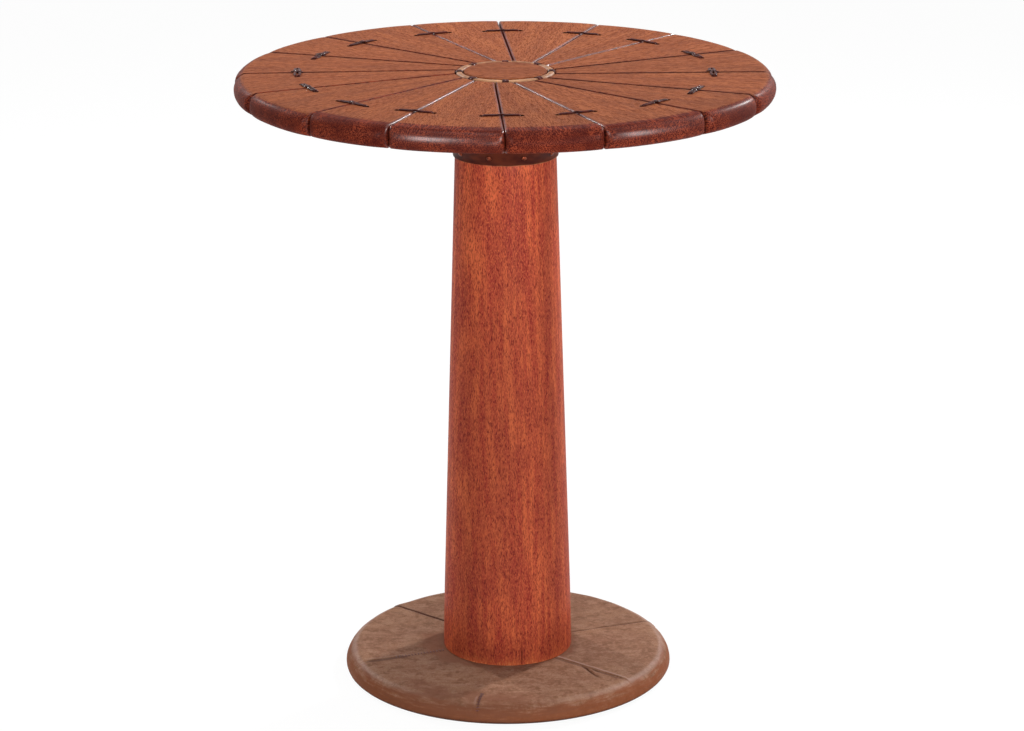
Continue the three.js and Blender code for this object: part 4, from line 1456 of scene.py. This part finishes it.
def seam_wear_and_shade(distance, style, worn, grime):
    """Above 0 where the nap of a seam has worn pale, below 0 where its line and shaded side are painted
    darker, as painted shade.
    """
    if style == "ridge":
        return worn * hill(distance - 2.0, 2.4) - 0.9 * hill(distance + grime, grime)
    if style == "stitched":
        return worn * hill(distance + 3.8, 1.9) - 0.85 * hill(distance - grime * 0.45, grime)
    return worn * hill(distance - 1.7, 1.2) - hill(distance, grime)


def crease_relief(place):
    """The depth of the creases at a point, in millimetres, as a negative height."""
    depth = 0.0
    for first, last, deep, wide in CREASES:
        start, end = Vector((*first, 0)) * MM, Vector((*last, 0)) * MM
        line = end - start
        share = (place - start).dot(line) / line.length_squared
        if -0.1 < share < 1.1:
            side = (place - start).dot(Vector((-line.y, line.x, 0)).normalized()) / MM
            fade = max(0.0, math.sin(math.pi * clamp(share)))
            depth -= deep * fade * hill(side, wide) - 0.4 * deep * fade * hill(side - 2.6, 1.8)
    return depth


def shade_by_column(place, degrees):
    """How much painted shade lies beside the column, most of all the column's painted shadow at its left."""
    outside = (place.length - foot_radius) / MM
    far, most, middle, width = COLUMN_SHADOW_LEFT
    left = most * hill(outside, far) * hill(degrees - middle, width)
    return COLUMN_SHADE[1] * hill(outside, COLUMN_SHADE[0]) + left


def gore_tone(place, degrees):
    """How light the leather is at a point: each gore has its tone, and painted shade darkens it beside the
    column.
    """
    middle, width, far, dark = SHADE_LEFT
    shade_left = dark * hill((place.length - foot_radius) / MM, far) * hill(degrees - middle, width)
    passed = sum(degrees >= row[0] for row in SEAMS)
    return GORE_TONES[passed - 1] - shade_left - 0.5 * shade_by_column(place, degrees)


def scuffed_and_shaded(place, degrees):
    """How far shoes have scuffed the front of the foot, with the painted shade beside the column added."""
    middle, width, start, end = SCUFFED
    rise = clamp((place.length / MM - start) / (end - start))
    return rise * hill(degrees - middle, width) + shade_by_column(place, degrees)


cover_shares = {"tone": [], "wear_and_shade": [], "rim": [], "scuffs_and_shade": []}
for vert in cover_bm.verts:
    flat = Vector((vert.co.x, vert.co.y, 0))
    radius, degrees = flat.length, bearing(vert.co)
    side_from = cover_radius - COVER_THICKNESS * 1.2
    normal, edge = rounded_normal(vert.co, cover_high_centre, cover_low_centre, side_from, cover_high / 2)
    relief = crease_relief(flat)
    # Creases are painted darker, as painted shade, and their lips a little paler
    wear_and_shade = 0.5 * relief
    for seam_degrees, style, worn, grime, start, end in SEAMS:
        distance = seam_distance(flat, seam_degrees)
        if distance is not None and abs(distance) < SEAM_REACH:
            shown = clamp((radius / MM - start) / SEAM_FADE) * clamp((end - radius / MM) / SEAM_FADE)
            relief += seam_relief(distance, style) * (0.2 + 0.8 * shown)
            wear_and_shade += shown * seam_wear_and_shade(distance, style, worn, grime)
    # Under the column the leather is pressed flat, and beside it it dips a little
    free = clamp((radius - foot_radius + 1 * MM) / (7 * MM))
    if vert.co.z > cover_low + 1 * MM:
        relief = (relief + swell(vert.co)) * free
    else:
        relief = 0.0
    relief -= 0.35 * hill((radius - foot_radius) / MM, 3.0) * free
    cover_shares["tone"].append(gore_tone(flat, degrees))
    cover_shares["wear_and_shade"].append(max(-1.0, min(1.0, wear_and_shade)))
    # Above 1 on the underside, which is painted darker, as painted shade
    cover_shares["rim"].append(edge if normal.z >= 0 else 1 - normal.z)
    cover_shares["scuffs_and_shade"].append(scuffed_and_shaded(flat, degrees))
    vert.co += normal * min(relief, 0.9 if edge < 0.5 else 0.6) * MM
    middle, width, drawn = DRAWN_IN
    vert.co -= flat.normalized() * drawn * MM * edge * hill(degrees - middle, width)
print("cover points:", len(cover_bm.verts))


# %% [markdown]
# The cover is thick brushed leather, a nubuck. Brushing raises a short nap, which scatters light, so the
# skin is matt and a little pale at a low angle, and it goes lighter or darker wherever a hand has stroked
# it. Each gore comes from another part of the hide. The shoulder is burnished and carries patches of
# painted highlight, the edge below it is darker and more orange, and its underside is painted darker as
# painted shade. The nap has worn off the tops of the seams, while the seam lines and creases carry painted
# shade, and the ground round the column carries painted shade and the column's painted shadow.

# %% Brushed leather
def brushed_leather():
    material, place = placed_material("Brushed nubuck leather")
    tone, wear_and_shade, rim, scuffs_and_shade = (attribute(material, share) for share in ("tone", "wear_and_shade", "rim", "scuffs_and_shade"))
    cloud = pattern(material, place, (70, 45, 60), detail=4)
    stroke = pattern(material, place, (24, 15, 20), detail=5, roughness=0.65, shift=5.7)
    blotch = pattern(material, place, (15, 15, 15), detail=4, roughness=0.6, shift=9.1)
    scuff = pattern(material, place, (5, 5, 5), detail=4, roughness=0.65, shift=4.4)
    brushed = pattern(material, place, (30, 30, 3.5), detail=4, roughness=0.6, shift=6.6)
    # A real nap is finer than 0.2 mm and is drawn at 1.3 mm so that it shows
    nap = pattern(material, place, (1.3, 1.3, 1.3), detail=3, roughness=0.7, shift=2.9)

    skin = stain(
        material,
        colour("#996f53"),
        ("#855a41", cloud, 0.35, 0.65, 1.0),
        ("#a98168", stroke, 0.45, 0.65, 0.6),
        ("#744a2f", blotch, 0.48, 0.66, 0.8),
        ("#aa8067", scuff, 0.45, 0.65, 0.5),
        ("#68432f", nap, 0.45, 0.65, 0.5),
    )
    skin = lighten(material, skin, tone, 0.85, 1.19)
    # The shoulder is burnished, and patches of it are painted paler, as a painted highlight
    shoulder = between(material, rim, 0.85, 0.45)
    burnish_and_highlight = combine(material, "MULTIPLY", between(material, rim, 0.12, 0.4), shoulder)
    patchy_highlight = combine(material, "MULTIPLY", burnish_and_highlight, between(material, brushed, 0.42, 0.62, 0.15, 0.5))
    patchy_highlight = combine(material, "MULTIPLY", patchy_highlight, between(material, scuffs_and_shade, 0.2, 0.9, 1.0, 0.1))
    skin = blend(material, patchy_highlight, skin, colour("#b48e80"))
    edge = combine(material, "ADD", rim, swing(material, brushed, 1.5))
    smudge_and_shade = combine(material, "ADD", scuffs_and_shade, swing(material, brushed, 2.4))
    # The orange edge is the leather's own colour; the smudge is scuffs and painted shade; the underside, the
    # seam lines and the creases are painted darker, as painted shade
    skin = stain(
        material,
        skin,
        ("#83411a", edge, 0.35, 0.95, 0.85),
        ("#78442a", smudge_and_shade, 0.35, 1.1, 0.7),
        ("#4d2a1c", rim, 1.05, 1.8, 1.0),
        ("#b8978a", wear_and_shade, 0.15, 0.9, 0.5),
        ("#4f2a1e", wear_and_shade, -0.2, -0.9, 0.75),
    )

    height = combine(material, "ADD", combine(material, "MULTIPLY", blotch, 1.5), nap)
    sockets = {
        "Base Color": skin,
        "Roughness": between(material, burnish_and_highlight, 0.0, 1.0, 0.78, 0.55),
        "IOR": 1.4,
        "Specular IOR Level": 0.25,
        "Sheen Weight": 0.08,
        "Sheen Roughness": 0.4,
        "Sheen Tint": colour("#e0c4b4"),
        "Normal": bump(material, height, 0.35, 0.6),
    }
    return principled(material, sockets)


cover = make_piece("fine_base_cover", cover_bm, brushed_leather(), "base_leather", "base_cover", sharp=70)
store(cover, cover_shares)
print("cover faces:", len(cover.data.polygons))

# %% [markdown]
# Waxed thread shows on two of the seams as short bars across it. Every stitch is one small stretched
# sphere, half sunk in the leather, with few faces.

# %% Stitches
STITCH_PITCH = 4.0 * MM
STITCH_THICKNESS = 0.75 * MM
# Direction in degrees, where the row runs as distances along the leather, how far beside the seam it is,
# and half the length of its stitches
STITCH_ROWS = (
    (199.5, 84, 150, 0.6, 3.2),
    (259.5, 168, 206, 0.5, 2.4),
)


def over_cover(along, degrees, beside):
    """A point on the leather, at a distance along its section from the axis, and its normal."""
    line = outwards(math.radians(degrees))
    flat_end, flat_high = cover_high_centre
    radius, height, normal = along, cover_high, Vector((0, 0, 1))
    if along > flat_end:
        bend = min(along - flat_end, COVER_ROUND_HIGH * math.pi / 2)
        angle = math.pi / 2 - bend / COVER_ROUND_HIGH
        radius = flat_end + COVER_ROUND_HIGH * math.cos(angle)
        height = flat_high + COVER_ROUND_HIGH * math.sin(angle)
        normal = line * math.cos(angle) + Vector((0, 0, math.sin(angle)))
    across = Vector((-line.y, line.x, 0))
    point = line * radius + across * (beside - seam_wander(radius, degrees)) + Vector((0, 0, height))
    return point, normal, across


thread_bm = bmesh.new()
stitch_count = 0
for degrees, first, last, beside, half_length in STITCH_ROWS:
    for step in range(int((last - first) * MM / STITCH_PITCH)):
        point, normal, across = over_cover(first * MM + step * STITCH_PITCH, degrees, beside * MM)
        point += normal * (swell(point) + 0.5) * MM
        turned = Matrix((across.cross(normal), across, normal)).transposed().to_4x4()
        yaw = Matrix.Rotation(0.35 * drift(stitch_count * 1.7, 0.3, 2.2), 4, "Z")
        stretched = Matrix.Diagonal((STITCH_THICKNESS, half_length * MM, STITCH_THICKNESS, 1))
        place = Matrix.Translation(point) @ turned @ yaw @ stretched
        bmesh.ops.create_uvsphere(thread_bm, u_segments=8, v_segments=6, radius=1, matrix=place)
        stitch_count += 1
thread_tints = ("#6a2c18", "#4a1c10")
thread = mottled("Waxed linen thread", (0.8, 0.8, 0.8), thread_tints, (0.4, 0.65), 0.5, (0.1, 0.5), detail=2)
make_piece("base_stitching", thread_bm, thread, "base_leather")
print("stitches:", stitch_count)

# %% [markdown]
# A disc of thick undyed leather closes the foot underneath and keeps it from scratching the floor. Its
# cut edge is rounded with a slicker, which the spin's eased corners give.

# %% Liner
LINER_EDGE = 0.5 * MM
liner_low, liner_high = levels("base_liner")
liner_flat = reach("base_liner") - LINER_EDGE


def felted_leather():
    material, place = placed_material("Undyed sole leather, flesh side")
    fibre = pattern(material, place, (3, 1.2, 2), detail=4, roughness=0.7)
    cloud = pattern(material, place, (40, 40, 40), detail=3, shift=6.2)
    layers = ("#5e4232", fibre, 0.35, 0.7, 1.0), ("#4a3428", cloud, 0.4, 0.7, 0.4)
    skin = stain(material, colour("#7a5a44"), *layers)
    relief = bump(material, fibre, 0.3, 0.6)
    return principled(material, {"Base Color": skin, "Roughness": 0.9, "IOR": 1.5, "Normal": relief})


liner_points = [
    (0, liner_low),
    *level_run(liner_low, 0, liner_flat, 6),
    *quarter((liner_flat, liner_low + LINER_EDGE), LINER_EDGE, -90, 3),
    *quarter((liner_flat, liner_high - LINER_EDGE), LINER_EDGE, 0, 3),
    (0, liner_high),
]
liner_bm = lathe(liner_points, 120)
liner = make_piece("fine_base_liner", liner_bm, felted_leather(), "liner_leather", "base_liner")
print("liner faces:", len(liner.data.polygons))

# %% [markdown]
# What stays inside keeps its solid from the frame and only gets its finish: zinc-plated steel for the
# rod, nuts, washer and clamp plate, and pine for the dowels and the foot's core. These materials read
# Object coordinates, because the solids carry no attributes of their own.

# %% Finishes for the hidden hardware
zinc_tints = ("#b4b6b8", "#8e9194")
pine_tints = ("#c49a68", "#9a6f42")
zinc_gloss = (0.28, 0.45)
zinc = mottled("Zinc-plated steel", (5, 5, 5), zinc_tints, (0.35, 0.65), zinc_gloss, (0.03, 0.3), metal=True)
# Each pine's fibres run along the axis with its largest size
upright_pine = mottled("Pine, fibres upright", (3, 3, 60), pine_tints, (0.38, 0.62), 0.65, (0.1, 0.4))
flat_pine = mottled("Pine, fibres level", (90, 6, 6), pine_tints, (0.38, 0.62), 0.65, (0.1, 0.4))
kept = {
    zinc: ("clamp_plate", "hub_nut", "foot_nut", "foot_washer", "tie_rod"),
    upright_pine: ("plate_dowel", "head_dowel", "foot_dowel"),
    flat_pine: ("base_core",),
}
for material, names in kept.items():
    for name in names:
        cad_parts[name].data.materials.clear()
        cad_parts[name].data.materials.append(material)
print("kept solids:", sum(len(names) for names in kept.values()))
